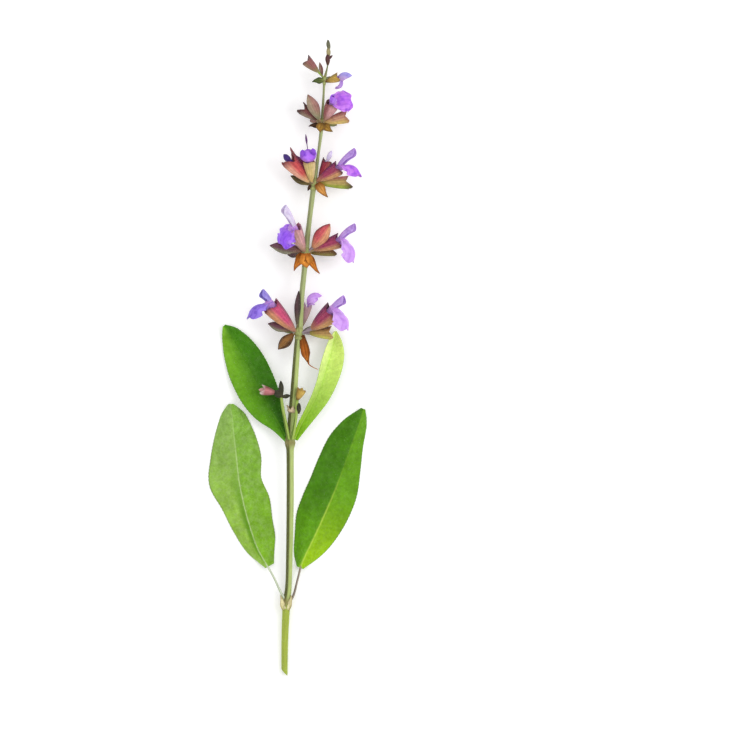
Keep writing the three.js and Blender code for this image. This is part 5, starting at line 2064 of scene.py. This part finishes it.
class DownTree:
    """Geometry Nodes tree that grows a coat of short hairs on a piece."""

    NAME = "sage_down"
    SHORTEST = 0.6
    LONGEST = 1.15
    CLEARANCE = 0.3  # between a hair's tip and the floor, mm
    INPUTS = (
        ("Density", "NodeSocketFloat"),
        ("Length", "NodeSocketFloat"),
        ("Radius", "NodeSocketFloat"),
        ("Lean", "NodeSocketFloat"),
        ("Floor", "NodeSocketFloat"),
        ("Seed", "NodeSocketInt"),
        ("Material", "NodeSocketMaterial"),
    )

    def __init__(self) -> None:
        """Builds the tree and its named inputs."""
        tree = bpy.data.node_groups.new(self.NAME, "GeometryNodeTree")
        face = tree.interface
        face.new_socket(name="Geometry", in_out="INPUT", socket_type="NodeSocketGeometry")
        self.sockets = {
            name: face.new_socket(name=name, in_out="INPUT", socket_type=kind).identifier
            for name, kind in self.INPUTS
        }
        face.new_socket(name="Geometry", in_out="OUTPUT", socket_type="NodeSocketGeometry")
        self.tree = tree
        self.lay_nodes()

    def lay_nodes(self) -> None:
        """Lays the nodes: points on the surface, a leaning hair at each, then real geometry."""
        tree = self.tree
        source = tree.nodes.new("NodeGroupInput").outputs
        place = add(tree, "GeometryNodeInputPosition")
        high = add(tree, "ShaderNodeSeparateXYZ", {0: place}, "Z")
        clear = add(tree, "FunctionNodeCompare", {0: high, 1: source["Floor"]}, operation="GREATER_THAN")
        density, seed = source["Density"], source["Seed"]
        scattered = {"Mesh": source["Geometry"], "Selection": clear, "Density": density, "Seed": seed}
        points = add(tree, "GeometryNodeDistributePointsOnFaces", scattered, "Points")
        back = add(tree, MATHS, {0: source["Lean"], 1: -1.0}, operation="MULTIPLY")
        leans = (back, source["Lean"])
        least, most = (add(tree, "ShaderNodeCombineXYZ", dict.fromkeys(range(3), lean)) for lean in leans)
        swing = {0: least, 1: most, "Seed": seed}
        lean = add(tree, "FunctionNodeRandomValue", swing, data_type="FLOAT_VECTOR")
        turned = add(tree, "FunctionNodeEulerToRotation", {0: lean})
        both = {"Rotation": points.node.outputs["Rotation"], "Rotate By": turned}
        rotation = add(tree, "FunctionNodeRotateRotation", both, rotation_space="LOCAL")
        size = {2: self.SHORTEST, 3: self.LONGEST, "Seed": seed}
        scale = add(tree, "FunctionNodeRandomValue", size, 1, data_type="FLOAT")
        shape = {
            "Vertices": 3,
            "Radius Top": 0.0,
            "Radius Bottom": source["Radius"],
            "Depth": source["Length"],
        }
        hair = add(tree, "GeometryNodeMeshCone", shape, "Mesh", fill_type="NGON")
        stand = {"Points": points, "Instance": hair, "Rotation": rotation, "Scale": scale}
        coat = add(tree, "GeometryNodeInstanceOnPoints", stand)
        real = add(tree, "GeometryNodeRealizeInstances", {0: coat})
        dressed = add(tree, "GeometryNodeSetMaterial", {"Geometry": real, "Material": source["Material"]})
        add(tree, "NodeGroupOutput", {0: dressed})

    def grow(self, host: Object, down: Down, slot: str) -> Object:
        """Piece of hairs that stands on another piece.

        Args:
            host: Piece that carries the hairs.
            down: The coat.
            slot: Name of a material slot, handed on to `mount`.

        Returns:
            The hairs.
        """
        values = {
            "Density": down.per_mm2 / MM**2,
            "Length": down.length * MM,
            "Radius": down.radius * MM,
            "Lean": down.lean,
            "Floor": (down.length + self.CLEARANCE) * MM,
            "Seed": down.seed,
            "Material": Finish.DOWN.material(),
        }
        modifier = host.modifiers.new(self.NAME, "NODES")
        modifier.node_group = self.tree
        for name, value in values.items():
            modifier[self.sockets[name]] = value
        graph = bpy.context.evaluated_depsgraph_get()
        mesh = bpy.data.meshes.new_from_object(host.evaluated_get(graph))
        host.modifiers.remove(modifier)
        mesh.name = f"{host.name}_down"
        return mount(placed(mesh.name, mesh), slot)


# ------------------------------------------------------------------------------------ studio


@dataclass
class Studio:
    """Plain pale floor, soft lights and a camera that looks straight down on the sprig."""

    view_middle: tuple[float, float] = (34.36, -6.97)
    view_span: float = 300.0
    view_height: float = 9.0
    lens: float = 200.0
    sensor: float = 36.0
    sees_to: float = 10.0  # metres
    floor_side: float = 4000.0
    floor_level: float = -0.05
    lights: Sequence[tuple[str, tuple[float, float, float], float, float]] = (
        ("key", (520.0, 60.0, 620.0), 420.0, 1.9),
        ("fill", (-560.0, -160.0, 700.0), 700.0, 0.8),
        ("top", (30.0, 420.0, 820.0), 600.0, 0.9),
    )
    sky: float = 0.72
    table_glow: float = 0.2

    def build_floor(self) -> None:
        """Makes the floor."""
        half = self.floor_side / 2 * MM
        level = self.floor_level * MM
        corners = [(-half, -half, level), (half, -half, level), (half, half, level), (-half, half, level)]
        mesh = bpy.data.meshes.new("studio_floor")
        mesh.from_pydata(corners, [], [(0, 1, 2, 3)])
        floor = placed("studio_floor", mesh)
        # matt white card on a lit table: it glows a little, so that shadows on it are faint
        material = blank_material("card_white")
        card = {
            "Base Color": linear("#f8f8f8"),
            "Roughness": 0.9,
            "Specular IOR Level": 0.1,
            "Emission Color": (1, 1, 1, 1),
            "Emission Strength": self.table_glow,
        }
        surface = add(material.node_tree, "ShaderNodeBsdfPrincipled", card)
        add(material.node_tree, "ShaderNodeOutputMaterial", {"Surface": surface})
        mesh.materials.append(material)

    def build_lights(self) -> None:
        """Makes the lights and the pale surroundings."""
        target = Vector((*self.view_middle, 0.0)) * MM
        for name, place, side, power in self.lights:
            lamp = bpy.data.lights.new(f"light_{name}", "AREA")
            lamp.size = side * MM
            lamp.energy = power
            made = placed(f"light_{name}", lamp)
            made.location = Vector(place) * MM
            made.rotation_euler = (target - made.location).to_track_quat("-Z", "Y").to_euler()
            made.visible_camera = False
        world = bpy.data.worlds.new("pale_room")
        world.use_nodes = True
        world.node_tree.nodes.clear()
        glow = add(world.node_tree, "ShaderNodeBackground", {"Color": (1, 1, 1, 1), "Strength": self.sky})
        add(world.node_tree, "ShaderNodeOutputWorld", {"Surface": glow})
        bpy.context.scene.world = world
        bpy.context.scene.view_settings.view_transform = "Standard"

    def build_camera(self) -> None:
        """Makes the camera, with a long lens straight above the middle of the view."""
        camera = bpy.data.cameras.new("camera")
        camera.lens = self.lens
        camera.sensor_width = self.sensor
        camera.clip_end = self.sees_to
        distance = self.view_span * self.lens / self.sensor
        made = placed("camera", camera)
        made.location = Vector((*self.view_middle, self.view_height + distance)) * MM
        bpy.context.scene.camera = made


# ------------------------------------------------------------------------------------ assembly

STEM_DOWN = Down(1.6, 0.5, 0.03)
CALYX_DOWN = Down(1.8, 0.4, 0.024)
LEAF_DOWN = Down(1.0, 0.35, 0.022)


def main() -> None:
    """Builds the studio and the sprig in order."""
    logging.basicConfig(level=logging.INFO, format="%(name)s %(message)s")
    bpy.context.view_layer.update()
    studio = Studio()
    studio.build_floor()
    studio.build_lights()
    studio.build_camera()

    down = DownTree()
    down.grow(STEM.build(), STEM_DOWN, "stem_skin")
    for leaf in LEAVES:
        down.grow(leaf.build(), LEAF_DOWN, "leaf_skin")
    for whorl in WHORLS:
        for made in whorl.build():
            if made.name.startswith("sage_calyxes"):
                down.grow(made, CALYX_DOWN, "calyx_skin")
    for shoot in SHOOTS:
        shoot.build()
    TopBuds().build()
    DryScales().build()


if __name__ == "__main__":
    main()
